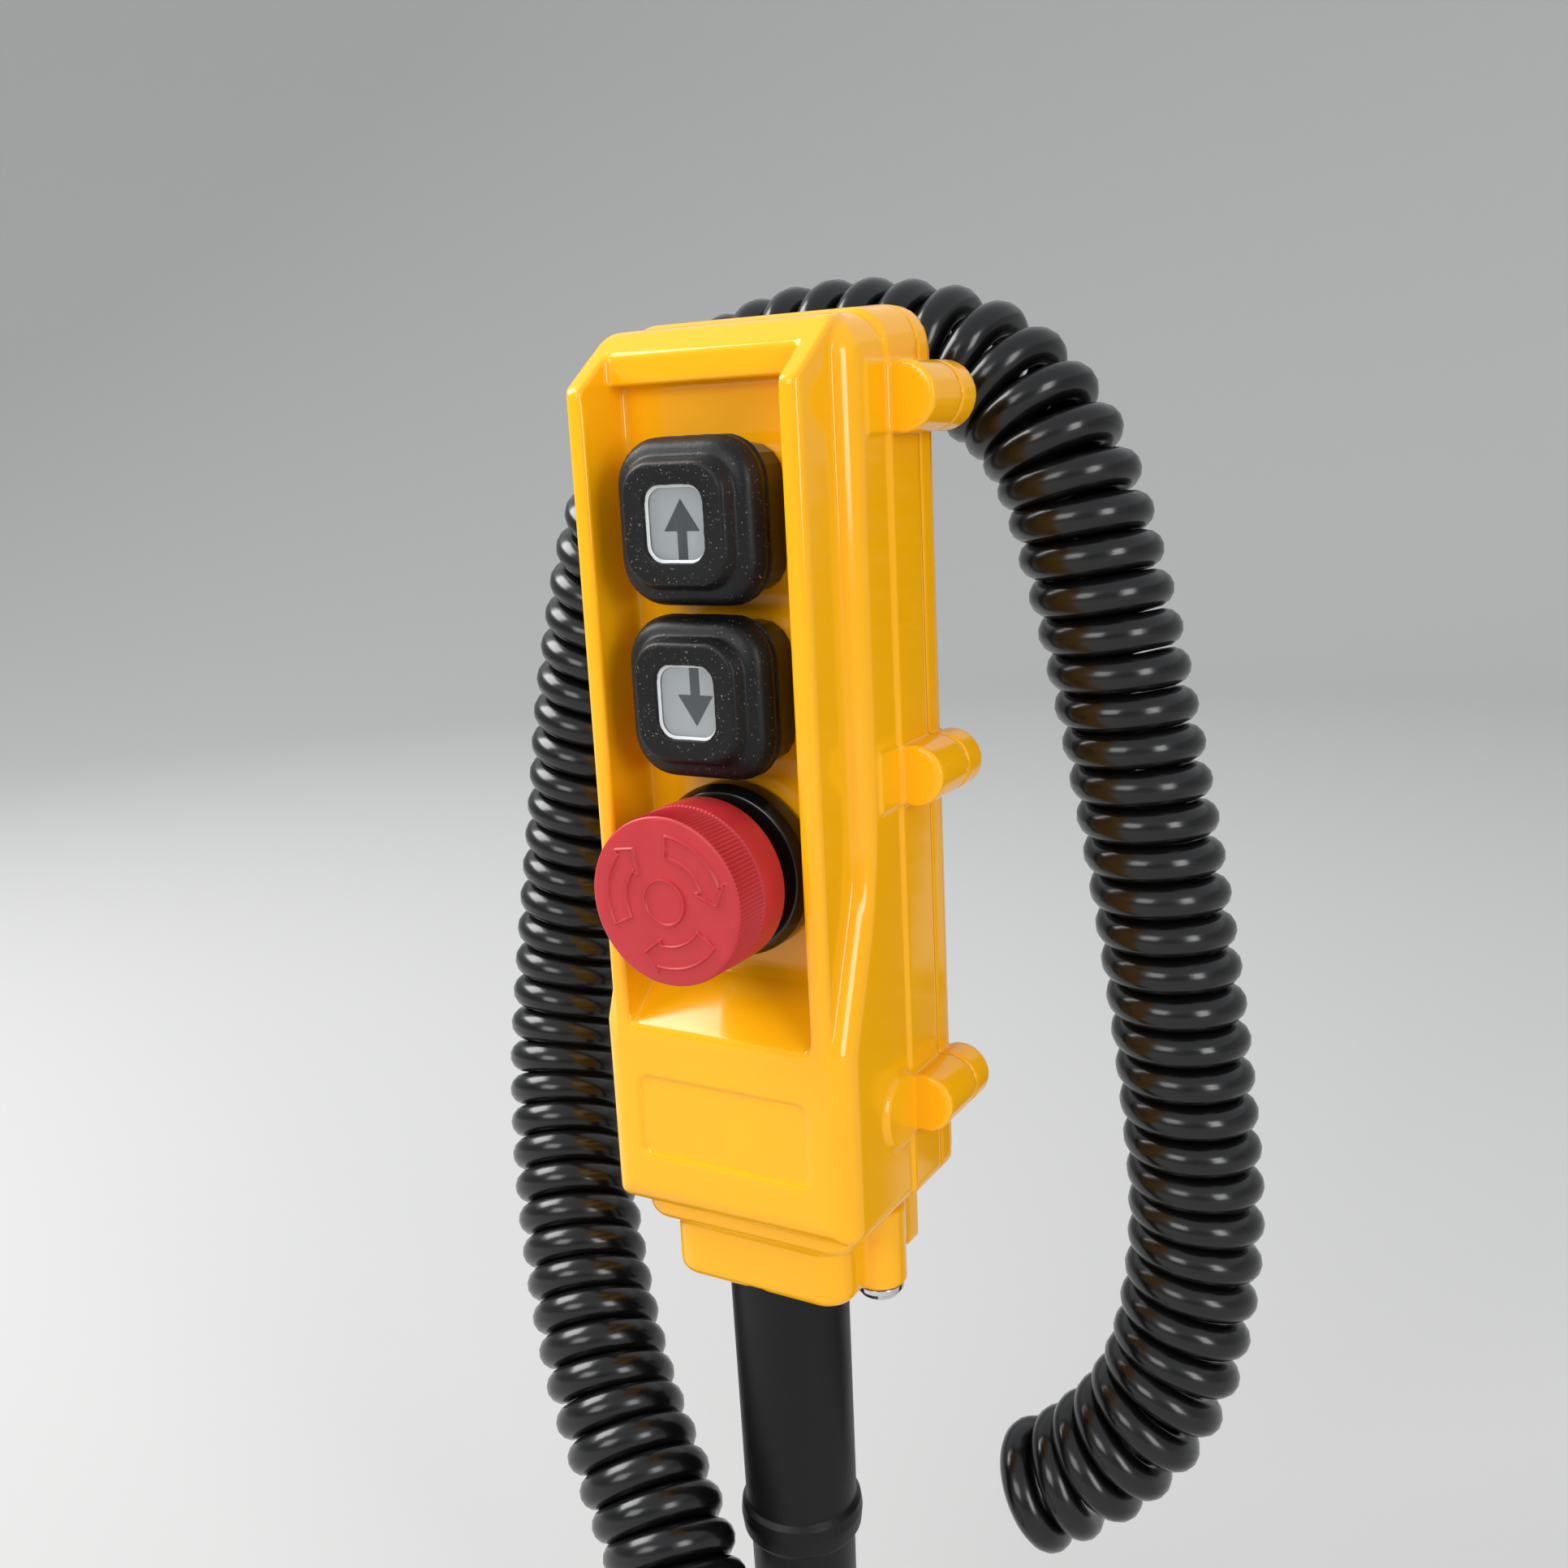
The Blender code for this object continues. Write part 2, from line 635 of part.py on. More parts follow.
def stop_button(looks):
    z = STOP_Z
    centre = (0.0, FLOOR_Y, z)

    def at(profile):
        return [(radius, FLOOR_Y - out) for radius, out in profile]

    collar = [
        (16.2, GAP),
        (16.8, 1.2),
        (16.8, 4.2),
        (16.3, 5.6),
        (15.1, 6.4),
        (11.8, 6.5),
        (10.8, 6.0),
        (10.8, GAP),
    ]
    add("stop_collar", turned(at(collar), (0.0, z), segments=36, closed=True), looks["black"])
    head = [
        (10.0, 7.0),
        (10.0, 11.0),
        (15.3, 11.0),
        (15.9, 11.6),
        (15.8, 18.4),
        (15.5, 18.6),
        (15.5, 25.4),
        (14.9, 26.1),
        (14.0, 26.4),
        (0.6, 26.6),
    ]
    cap = add("stop_head", turned(at(head), (0.0, z), segments=36), looks["red"], centre)
    bore = [(8.7, 5.0), (8.7, 19.6), (6.6, 19.6), (6.6, 22.0)]
    change(cap, turned(at(bore), (0.0, z), segments=24), "DIFFERENCE", "bore")
    core = [(6.3, 21.7), (6.3, -9.3)]
    add("stop_core", turned(at(core), (0.0, z), segments=20), looks["black"], centre)
    bushing = [(6.6, GAP), (6.6, -8.9), (8.0, -8.9), (8.0, GAP), (10.4, GAP), (10.4, 1.6), (6.6, 1.6)]
    add("stop_bushing", turned(at(bushing), (0.0, z), segments=24, closed=True), looks["steel"])
    nut = turned(at([(11.5, -2.7), (11.5, -6.0)]), (0.0, z), segments=6)
    ring = add("stop_nut", nut, looks["steel"])
    change(ring, turned(at([(8.3, 0.0), (8.3, -9.0)]), (0.0, z), segments=24), "DIFFERENCE", "bore")
    spring("stop_spring", z, 1.9, 19.3, 7.5, 0.45, 7, looks["steel"])
    contact_block("stop_contact", z, FLOOR_Y + 9.9, 12.0, 6.7, looks["block"], looks["brass"])


# Cable entry


def cable_sleeve(look):
    """Rubber sleeve over the cable, with a bead and a thinner end below it."""
    profile = [
        (12.2, SLEEVE_TOP_Z),
        (12.3, COLLAR_LOW_Z),
        (11.95, -157.5),
        (12.8, -158.6),
        (13.1, -161.0),
        (12.7, -164.6),
        (11.2, -166.2),
        (11.0, -182.0),
        (7.4, SLEEVE_LOW_Z),
        (4.1, SLEEVE_LOW_Z),
        (4.1, SLEEVE_TOP_Z),
    ]
    return add("cable_sleeve", turned(profile, (0.0, CABLE_Y), axis="z", segments=28, closed=True), look)


def cable_clamp(black, steel):
    """A bar across the cable, held to two posts, that takes the pull off the wires."""
    front = CABLE_Y - 0.5
    back = CABLE_Y + 7.5
    bar = add("cable_clamp", block((-15.0, front, CLAMP_Z - 3.5), (15.0, back, CLAMP_Z + 3.5)), black)
    groove = [(CABLE_RADIUS + GAP, CLAMP_Z - 6.0), (CABLE_RADIUS + GAP, CLAMP_Z + 6.0)]
    change(bar, turned(groove, (0.0, CABLE_Y), axis="z"), "DIFFERENCE", "saddle")
    for side, label in ((-1, "left"), (1, "right")):
        centre = (side * CLAMP_SCREW_X, CLAMP_Z)
        hole = turned([(1.9, front - 3.0), (1.9, back + 3.0)], centre, segments=12)
        change(bar, hole, "DIFFERENCE", f"hole_{label}")
        top = back + GAP
        profile = [(1.2, CLAMP_BORE_Y + 3.0), (1.2, top), (3.0, top), (3.0, top + 1.4), (1.8, top + 2.0)]
        add(f"clamp_screw_{label}", turned(profile, centre, segments=12), steel)


def anchor_screw(look):
    """Domed plated screw that closes the boss beside the sleeve."""
    low = COLLAR_LOW_Z - GAP
    shank = [(2.0, -94.0), (2.0, low)]
    dome = [(4.9, low), (4.9, low - 0.8), (4.2, low - 2.0), (2.6, low - 2.9), (0.8, low - 3.3)]
    profile = turned(shank + dome, (ANCHOR_X, ANCHOR_Y), axis="z", segments=20)
    return add("anchor_screw", profile, look)


def inner_wiring(looks):
    """The cable's jacket inside the sleeve and the clamp, and one wire from it to each block."""
    top = -70.0
    jacket = [(CABLE_RADIUS, SLEEVE_LOW_Z + 1.0), (CABLE_RADIUS, top)]
    add("cable_jacket", turned(jacket, (0.0, CABLE_Y), axis="z", segments=16), looks["cord"])
    for name, start_x, start_y, lane_x, lane_y, end, look in (
        ("wire_stop", -1.5, -28.0, -13.5, -21.0, STOP_Z - 11.9, "wire_black"),
        ("wire_down", 1.5, -26.0, 13.5, -19.0, DOWN_Z - 11.9, "wire_blue"),
        ("wire_up", -1.5, -24.0, -17.5, -17.0, UP_Z - 11.9, "wire_brown"),
    ):
        side = math.copysign(1.0, lane_x)
        route = [
            (start_x, start_y, top + 0.4),
            (start_x * 1.4, start_y, top + 8.0),
            (lane_x, lane_y, top + 24.0),
            (lane_x, lane_y, end - 10.0),
            (side * 8.0, -19.0, end - 3.0),
            (side * 6.0, -19.0, end),
        ]
        tube(name, route, 0.8, looks[look], resolution=1, smooth=3)


# Cord


LEAD_ROUTE = (
    (0.0, CABLE_Y, SLEEVE_LOW_Z - GAP),
    (0.5, -26.0, -203.0),
    (6.0, -31.0, -221.0),
    (14.0, -46.0, -228.0),
    (13.0, -60.0, -214.0),
    (3.0, -62.0, -197.0),
    (-9.5, -54.5, -181.0),
)
COIL_ROUTE = (
    (-9.7, -54.3, -180.7),
    (-22.0, -46.0, -164.0),
    (-44.0, -33.0, -140.0),
    (-63.0, -16.0, -113.0),
    (-76.0, 0.0, -86.0),
    (-79.0, 9.0, -60.0),
    (-76.0, 14.0, -26.0),
    (-69.0, 16.0, 15.0),
    (-57.0, 17.0, 51.0),
    (-38.0, 18.0, 71.0),
    (-14.0, 19.0, 80.0),
    (9.0, 20.0, 80.3),
    (28.0, 22.0, 74.5),
    (42.0, 22.0, 60.0),
    (50.0, 23.0, 36.0),
    (57.0, 25.0, 2.0),
    (64.2, 26.0, -41.0),
    (69.0, 26.0, -79.0),
    (70.8, 25.0, -105.0),
    (68.4, 20.5, -131.0),
    (62.3, 16.5, -146.8),
    (50.6, 14.0, -161.0),
    (42.0, 12.3, -167.2),
    (38.0, 11.5, -170.0),
)
TAIL_ROUTE = (
    (42.9, 25.9, -173.2),
    (43.4, 33.5, -176.0),
    (46.0, 43.0, -172.5),
    (50.5, 50.0, -163.0),
    (54.8, 54.0, -150.0),
    (57.2, 55.0, -137.0),
    (PLUG_X, PLUG_Y, -124.0),
    (PLUG_X, PLUG_Y, PLUG_LOW_Z - GAP),
)


def free_cord(looks):
    tube("cord_lead", LEAD_ROUTE, CABLE_RADIUS, looks["cord"], resolution=2, smooth=4)
    tube("cord_coil", COIL_ROUTE, COIL_RADIUS, looks["cord"], resolution=3, smooth=2)
    tube("cord_tail", TAIL_ROUTE, CABLE_RADIUS, looks["cord"], resolution=2, smooth=4)


def end_plug(looks):
    """Round cable plug on the cord's far end, standing upright: gland nut, body, coupling ring and insert."""
    x, y, low = PLUG_X, PLUG_Y, PLUG_LOW_Z
    nut = turned([(8.2, low), (9.4, low + 1.2), (9.4, low + 9.0)], (x, y), axis="z", segments=12)
    add("plug_gland_nut", nut, looks["black"])
    body = [(8.6, low + 9.3), (10.0, low + 11.0), (10.0, low + 33.0), (8.4, low + 34.5), (8.4, low + 42.0)]
    add("plug_body", turned(body, (x, y), axis="z", segments=24), looks["black"])
    ring = [(8.7, low + 35.0), (11.0, low + 35.0), (11.0, low + 45.0), (8.7, low + 45.0)]
    add("plug_ring", turned(ring, (x, y), axis="z", segments=24, closed=True), looks["steel"])
    insert = turned([(7.6, low + 42.3), (7.6, low + 44.0)], (x, y), axis="z", segments=20)
    add("plug_insert", insert, looks["block"])
    for number in range(4):
        angle = math.pi / 4 + number * math.pi / 2
        centre = (x + 4.2 * math.cos(angle), y + 4.2 * math.sin(angle))
        pin = [(0.9, low + 44.3), (0.9, low + 50.0), (0.4, low + 50.8)]
        add(f"plug_pin_{number + 1}", turned(pin, centre, axis="z", segments=8), looks["brass"])


def main():
    for old in list(bpy.data.objects):
        bpy.data.objects.remove(old)
    looks = {
        "yellow": material("yellow_abs", (0.95, 0.50, 0.02), 0.28),
        "rubber": material("black_rubber", (0.018, 0.018, 0.02), 0.6),
        "black": material("black_plastic", (0.012, 0.012, 0.013), 0.35),
        "silver": material("silver_plate", (0.5, 0.51, 0.52), 0.35, 0.6),
        "clear": material("clear_lens", (0.8, 0.82, 0.84), 0.1),
        "red": material("red_plastic", (0.55, 0.03, 0.04), 0.45),
        "steel": material("zinc_steel", (0.6, 0.6, 0.6), 0.3, 1.0),
        "chrome": material("chrome", (0.75, 0.75, 0.75), 0.08, 1.0),
        "brass": material("brass", (0.7, 0.5, 0.2), 0.3, 1.0),
        "block": material("grey_block", (0.2, 0.2, 0.2), 0.5),
        "cord": material("cord_jacket", (0.006, 0.006, 0.006), 0.15),
        "wire_black": material("wire_black", (0.01, 0.01, 0.01), 0.4),
        "wire_blue": material("wire_blue", (0.02, 0.08, 0.4), 0.4),
        "wire_brown": material("wire_brown", (0.15, 0.05, 0.02), 0.4),
    }
    front_cover(looks["yellow"])
    rear_cover(looks["yellow"])
    gasket(looks["rubber"])
    cover_screws(looks["steel"])
    push_button("up", UP_Z, looks)
    push_button("down", DOWN_Z, looks)
    for prefix, z in (("up", UP_Z), ("down", DOWN_Z)):
        contact_block(f"{prefix}_contact", z, FLOOR_Y + 5.5, 14.0, 3.1, looks["block"], looks["brass"])
    stop_button(looks)
    cable_sleeve(looks["rubber"])
    cable_clamp(looks["black"], looks["steel"])
    anchor_screw(looks["chrome"])
    inner_wiring(looks)
    free_cord(looks)
    end_plug(looks)


main()
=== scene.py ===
import json
import math

import bmesh
import bpy
import numpy as np
from mathutils import Matrix, Vector


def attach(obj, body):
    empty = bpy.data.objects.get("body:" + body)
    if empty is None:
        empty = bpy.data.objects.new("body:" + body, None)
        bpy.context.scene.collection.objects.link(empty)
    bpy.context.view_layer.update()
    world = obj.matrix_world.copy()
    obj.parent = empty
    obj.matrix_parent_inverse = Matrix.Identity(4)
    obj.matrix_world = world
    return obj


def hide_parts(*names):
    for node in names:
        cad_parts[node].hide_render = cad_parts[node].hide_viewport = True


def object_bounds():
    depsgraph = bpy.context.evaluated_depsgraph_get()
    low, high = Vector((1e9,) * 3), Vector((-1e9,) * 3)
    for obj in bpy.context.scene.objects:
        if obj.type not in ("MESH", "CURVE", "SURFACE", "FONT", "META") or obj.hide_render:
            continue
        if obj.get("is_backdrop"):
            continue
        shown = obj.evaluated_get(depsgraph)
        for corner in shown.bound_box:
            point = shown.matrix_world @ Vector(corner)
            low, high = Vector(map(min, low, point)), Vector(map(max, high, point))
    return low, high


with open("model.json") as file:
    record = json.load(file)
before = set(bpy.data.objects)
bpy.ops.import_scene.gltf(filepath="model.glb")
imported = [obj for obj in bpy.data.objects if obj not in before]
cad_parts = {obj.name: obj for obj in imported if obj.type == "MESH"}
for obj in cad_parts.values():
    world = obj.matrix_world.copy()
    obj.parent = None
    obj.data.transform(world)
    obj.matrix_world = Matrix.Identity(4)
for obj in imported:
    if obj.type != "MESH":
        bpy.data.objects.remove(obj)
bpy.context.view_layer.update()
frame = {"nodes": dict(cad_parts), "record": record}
mm = 0.001
print("frame loaded:", len(frame["nodes"]), "nodes")


# camera, colours and nodes

cameraSet = {
    "place": (0.1548, -0.2784, 0.0653),
    "looks": (-0.4985, 0.8385, -0.2200),
    "up": (-0.068, 0.2152, 0.9742),
    "sensor": 36.0,
    "lens": 35.89,
}


def makeCamera(settings):
    # looks along a direction, with the up side turned square to it
    back = -Vector(settings["looks"]).normalized()
    right = Vector(settings["up"]).cross(back).normalized()
    up = back.cross(right)
    data = bpy.data.cameras.new("camera")
    data.sensor_width = settings["sensor"]
    data.lens = settings["lens"]
    data.clip_start = 0.01
    camera = bpy.data.objects.new("camera", data)
    turn = Matrix((right, up, back)).transposed()
    camera.matrix_world = Matrix.Translation(settings["place"]) @ turn.to_4x4()
    bpy.context.scene.collection.objects.link(camera)
    bpy.context.scene.camera = camera


def hexColor(code):
    # sRGB hex to linear light, opaque
    parts = np.array([int(code[i:i + 2], 16) for i in (1, 3, 5)]) / 255
    linear = np.where(parts <= 0.04045, parts / 12.92, ((parts + 0.055) / 1.055) ** 2.4)
    return (*(float(value) for value in linear), 1.0)


def addNode(tree, kind, settings=None, links=None):
    # a node with its settings; links maps its input to (node, output)
    node = tree.nodes.new(kind)
    for name, value in (settings or {}).items():
        if name in node.inputs:
            node.inputs[name].default_value = value
        else:
            setattr(node, name, value)
    for name, (source, output) in (links or {}).items():
        tree.links.new(source.outputs[output], node.inputs[name])
    return node


def newMaterial(name, color, roughness, metallic=0.0, **extra):
    # one principled shader with its plain values; extra names more of its sockets, with _ for a space
    made = bpy.data.materials.new(name)
    made.use_nodes = True
    shader = made.node_tree.nodes["Principled BSDF"]
    shader.inputs["Base Color"].default_value = hexColor(color)
    shader.inputs["Roughness"].default_value = roughness
    shader.inputs["Metallic"].default_value = metallic
    for socket, value in extra.items():
        shader.inputs[socket.replace("_", " ")].default_value = value
    return made, made.node_tree, shader


def grainScale(size):
    # scale of a noise on Object coordinates, in metres, whose grains are about size mm wide
    return 1000.0 / size


# surfaces as arrays

def gridFaces(rows, columns, wrapRows=False):
    # the quads between neighbouring points of a rows by columns grid, whose last column meets its first
    r, c = np.meshgrid(np.arange(rows if wrapRows else rows - 1), np.arange(columns), indexing="ij")
    nextR, nextC = (r + 1) % rows, (c + 1) % columns
    quads = [r * columns + c, r * columns + nextC, nextR * columns + nextC, nextR * columns + c]
    return np.stack(quads, axis=-1).reshape(-1, 4)


def endCaps(rows, columns):
    # a grid's first and last row, each as one face
    return [range(columns), range((rows - 1) * columns, rows * columns)]


def makePiece(name, points, faces, material, body, replaced=(), sharp=38, caps=(), orient=True):
    # points in millimetres, quads as an array, caps as lists of point numbers
    mesh = bpy.data.meshes.new(name)
    allFaces = [tuple(face) for face in np.asarray(faces).tolist()] + [tuple(cap) for cap in caps]
    mesh.from_pydata((np.asarray(points, float) * mm).tolist(), [], allFaces)
    if orient:
        work = bmesh.new()
        work.from_mesh(mesh)
        bmesh.ops.remove_doubles(work, verts=work.verts, dist=1e-7)
        bmesh.ops.recalc_face_normals(work, faces=work.faces)
        work.to_mesh(mesh)
        work.free()
    mesh.shade_smooth()
    mesh.set_sharp_from_angle(angle=math.radians(sharp))
    mesh.materials.append(material)
    piece = bpy.data.objects.new(name, mesh)
    bpy.context.scene.collection.objects.link(piece)
    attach(piece, body)
    if replaced:
        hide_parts(*replaced)
    return piece


def filleted(corners, steps):
    # a polyline whose corners (a, b, radius) are rounded by arcs that touch both sides
    path = []
    for i, (a, b, radius) in enumerate(corners):
        here = np.array([a, b], float)
        if radius <= 0 or i in (0, len(corners) - 1):
            path.append(here)
            continue
        before = np.array(corners[i - 1][:2], float) - here
        after = np.array(corners[i + 1][:2], float) - here
        before /= np.linalg.norm(before)
        after /= np.linalg.norm(after)
        half = math.acos(np.clip(before @ after, -1, 1)) / 2
        middle = (before + after) / np.linalg.norm(before + after)
        centre = here + middle * radius / math.sin(half)
        first = here + before * radius / math.tan(half) - centre
        sweep = math.pi - 2 * half
        turn = math.copysign(1, first[0] * (-middle[1]) - first[1] * (-middle[0]))
        for t in np.linspace(0, sweep, steps + 1):
            c, s = math.cos(t), math.sin(t) * turn
            path.append(centre + [first[0] * c - first[1] * s, first[0] * s + first[1] * c])
    return np.array(path)


def turnedPoints(profile, centre, axis, segments, ripple=None):
    # a profile of (radius, place) carried round an axis; ripple(angle, radius) adds to the radius
    angle = np.arange(segments) * 2 * np.pi / segments
    radius, angle = np.meshgrid(profile[:, 0], angle, indexing="ij")
    place = np.repeat(profile[:, 1:2], segments, axis=1)
    if ripple is not None:
        radius = radius + ripple(angle, radius)
    across, up = radius * np.cos(angle), radius * np.sin(angle)
    if axis == "y":
        parts = [centre[0] + across, place, centre[1] + up]
    else:
        parts = [centre[0] + across, centre[1] + up, place]
    return np.stack(parts, axis=-1).reshape(-1, 3)


def turnedPiece(name, profile, centre, axis, segments, material, body, replaced=(), closed=True,
                ripple=None):
    # closed joins the profile's last point to its first; otherwise its ends lie on the axis and are capped
    points = turnedPoints(profile, centre, axis, segments, ripple)
    rows = len(profile)
    caps = [] if closed else endCaps(rows, segments)
    faces = gridFaces(rows, segments, wrapRows=closed)
    return makePiece(name, points, faces, material, body, replaced, caps=caps)


def roundedLoop(halfX, halfZ, radius, perCorner=9, perSide=6):
    # a rounded rectangle about the origin: four quarter arcs joined by straight sides
    radius = min(radius, halfX, halfZ)
    loop = []
    for turn, (sx, sz) in enumerate(((1, 1), (-1, 1), (-1, -1), (1, -1))):
        angle = np.pi / 2 * (turn + np.linspace(0, 1, perCorner))
        arcX = sx * (halfX - radius) + radius * np.cos(angle)
        arcZ = sz * (halfZ - radius) + radius * np.sin(angle)
        loop.append(np.stack([arcX, arcZ], axis=1))
    joined = []
    for i in range(4):
        start, end = loop[i][-1], loop[(i + 1) % 4][0]
        share = np.linspace(0, 1, perSide + 2)[1:-1, None]
        joined += [loop[i], start + (end - start) * share]
    return np.concatenate(joined)


# materials

def moldedAbs():
    # ABS, injection moulded and glossy: even signal yellow with a faint orange peel and a soft shine
    made, tree, shader = newMaterial("molded_yellow_abs", "#FFB410", 0.13, IOR=1.5, Specular_IOR_Level=0.46)
    onObject = {"Vector": (addNode(tree, "ShaderNodeTexCoord"), "Object")}
    cloud = addNode(tree, "ShaderNodeTexNoise", {"Scale": grainScale(38.0), "Detail": 3.0}, onObject)
    tone = addNode(tree, "ShaderNodeMix", {"data_type": "RGBA"}, {"Factor": (cloud, "Fac")})
    tone.inputs[6].default_value = hexColor("#FDAE09")
    tone.inputs[7].default_value = hexColor("#FFB90F")
    tree.links.new(tone.outputs[2], shader.inputs["Base Color"])
    shader.inputs["Subsurface Weight"].default_value = 0.08
    shader.inputs["Subsurface Radius"].default_value = (1.0, 0.5, 0.1)
    shader.inputs["Subsurface Scale"].default_value = 0.0012
    wave = addNode(tree, "ShaderNodeTexNoise", {"Scale": grainScale(6.2), "Detail": 2.0}, onObject)
    bump = addNode(tree, "ShaderNodeBump", {"Strength": 0.06, "Distance": 0.0004}, {"Height": (wave, "Fac")})
    tree.links.new(bump.outputs[0], shader.inputs["Normal"])
    rough = addNode(tree, "ShaderNodeMapRange", {"To Min": 0.09, "To Max": 0.17}, {"Value": (cloud, "Fac")})
    tree.links.new(rough.outputs[0], shader.inputs["Roughness"])
    return made


def moldedRubber(name, color, roughness, specks=True):
    # EPDM rubber, compression moulded: dark satin skin, fine grain and a little pale dust in it
    # the mould's 0.1 mm grit is too fine to show, so the grain is drawn 1.1 mm wide, and the dust 0.36 mm
    made, tree, shader = newMaterial(name, color, roughness, IOR=1.5, Specular_IOR_Level=0.28)
    onObject = {"Vector": (addNode(tree, "ShaderNodeTexCoord"), "Object")}
    fine = addNode(tree, "ShaderNodeTexNoise", {"Scale": grainScale(1.1), "Detail": 4.0}, onObject)
    cloud = addNode(tree, "ShaderNodeTexNoise", {"Scale": grainScale(14.0), "Detail": 4.0}, onObject)
    bump = addNode(tree, "ShaderNodeBump", {"Strength": 0.25, "Distance": 0.0002}, {"Height": (fine, "Fac")})
    tree.links.new(bump.outputs[0], shader.inputs["Normal"])
    rough = addNode(tree, "ShaderNodeMapRange", {"To Min": roughness - 0.08, "To Max": roughness + 0.1},
                    {"Value": (cloud, "Fac")})
    tree.links.new(rough.outputs[0], shader.inputs["Roughness"])
    if specks:
        dots = addNode(tree, "ShaderNodeTexNoise", {"Scale": grainScale(0.36), "Detail": 0.0}, onObject)
        dust = addNode(tree, "ShaderNodeMapRange", {"From Min": 0.77, "From Max": 0.81},
                       {"Value": (dots, "Fac")})
        tone = addNode(tree, "ShaderNodeMix", {"data_type": "RGBA"}, {"Factor": (dust, "Result")})
        tone.inputs[6].default_value = hexColor(color)
        tone.inputs[7].default_value = hexColor("#6E6A66")
        tree.links.new(tone.outputs[2], shader.inputs["Base Color"])
    return made


def extrudedCordJacket():
    # polyurethane jacket, extruded: near black and very glossy, with a faint waviness left by the winding
    made, tree, shader = newMaterial("extruded_black_jacket", "#0A0A0B", 0.2, IOR=1.5)
    onObject = {"Vector": (addNode(tree, "ShaderNodeTexCoord"), "Object")}
    wave = addNode(tree, "ShaderNodeTexNoise", {"Scale": grainScale(4.5), "Detail": 3.0}, onObject)
    bump = addNode(tree, "ShaderNodeBump", {"Strength": 0.12, "Distance": 0.0005}, {"Height": (wave, "Fac")})
    tree.links.new(bump.outputs[0], shader.inputs["Normal"])
    haze = addNode(tree, "ShaderNodeTexNoise", {"Scale": grainScale(11.0), "Detail": 5.0}, onObject)
    rough = addNode(tree, "ShaderNodeMapRange", {"To Min": 0.14, "To Max": 0.3}, {"Value": (haze, "Fac")})
    tree.links.new(rough.outputs[0], shader.inputs["Roughness"])
    return made


def moldedRed():
    # acetal, injection moulded: opaque signal red with a satin skin that has been handled
    # its 0.05 mm skin grain is too fine to show, so it is drawn 0.8 mm wide
    made, tree, shader = newMaterial("molded_red_acetal", "#BC2A31", 0.4, IOR=1.48)
    onObject = {"Vector": (addNode(tree, "ShaderNodeTexCoord"), "Object")}
    cloud = addNode(tree, "ShaderNodeTexNoise", {"Scale": grainScale(6.7), "Detail": 6.0}, onObject)
    tone = addNode(tree, "ShaderNodeMix", {"data_type": "RGBA"}, {"Factor": (cloud, "Fac")})
    tone.inputs[6].default_value = hexColor("#B0252C")
    tone.inputs[7].default_value = hexColor("#C42E35")
    tree.links.new(tone.outputs[2], shader.inputs["Base Color"])
    rough = addNode(tree, "ShaderNodeMapRange", {"To Min": 0.3, "To Max": 0.5}, {"Value": (cloud, "Fac")})
    tree.links.new(rough.outputs[0], shader.inputs["Roughness"])
    grain = addNode(tree, "ShaderNodeTexNoise", {"Scale": grainScale(0.8), "Detail": 2.0}, onObject)
    bump = addNode(tree, "ShaderNodeBump", {"Strength": 0.1, "Distance": 0.0001}, {"Height": (grain, "Fac")})
    tree.links.new(bump.outputs[0], shader.inputs["Normal"])
    return made


def moldedGloss(name, color, roughness):
    # polyamide or polycarbonate, moulded: glossy, with light handling scratches in its shine
    made, tree, shader = newMaterial(name, color, roughness, IOR=1.52)
    onObject = {"Vector": (addNode(tree, "ShaderNodeTexCoord"), "Object")}
    cloud = addNode(tree, "ShaderNodeTexNoise", {"Scale": grainScale(5.5), "Detail": 5.0}, onObject)
    rough = addNode(tree, "ShaderNodeMapRange", {"To Min": roughness * 0.7, "To Max": roughness * 1.4},
                    {"Value": (cloud, "Fac")})
    tree.links.new(rough.outputs[0], shader.inputs["Roughness"])
    return made


def platedMetal(name, color, roughness):
    # steel or brass, plated and turned: bright metal with turning marks, drawn 1.4 mm wide so that they show
    made, tree, shader = newMaterial(name, color, roughness, 1.0)
    onObject = {"Vector": (addNode(tree, "ShaderNodeTexCoord"), "Object")}
    marks = addNode(tree, "ShaderNodeTexNoise", {"Scale": grainScale(1.4), "Detail": 3.0}, onObject)
    rough = addNode(tree, "ShaderNodeMapRange", {"To Min": roughness * 0.7, "To Max": roughness * 1.5},
                    {"Value": (marks, "Fac")})
    tree.links.new(rough.outputs[0], shader.inputs["Roughness"])
    bump = addNode(tree, "ShaderNodeBump", {"Strength": 0.08, "Distance": 0.0001}, {"Height": (marks, "Fac")})
    tree.links.new(bump.outputs[0], shader.inputs["Normal"])
    return made


def anodizedPlate():
    # aluminium sheet, brushed upright and anodised: pale grey with fine lines 0.1 mm apart
    made, tree, shader = newMaterial("anodized_legend_plate", "#D6D8DA", 0.38, 0.35)
    onObject = {"Vector": (addNode(tree, "ShaderNodeTexCoord"), "Object")}
    brushed = (grainScale(0.11), grainScale(0.11), grainScale(3.3))
    stretch = addNode(tree, "ShaderNodeMapping", {"Scale": brushed}, onObject)
    lines = addNode(tree, "ShaderNodeTexNoise", {"Scale": 1.0, "Detail": 2.0}, {"Vector": (stretch, 0)})
    rough = addNode(tree, "ShaderNodeMapRange", {"To Min": 0.3, "To Max": 0.5}, {"Value": (lines, "Fac")})
    tree.links.new(rough.outputs[0], shader.inputs["Roughness"])
    return made


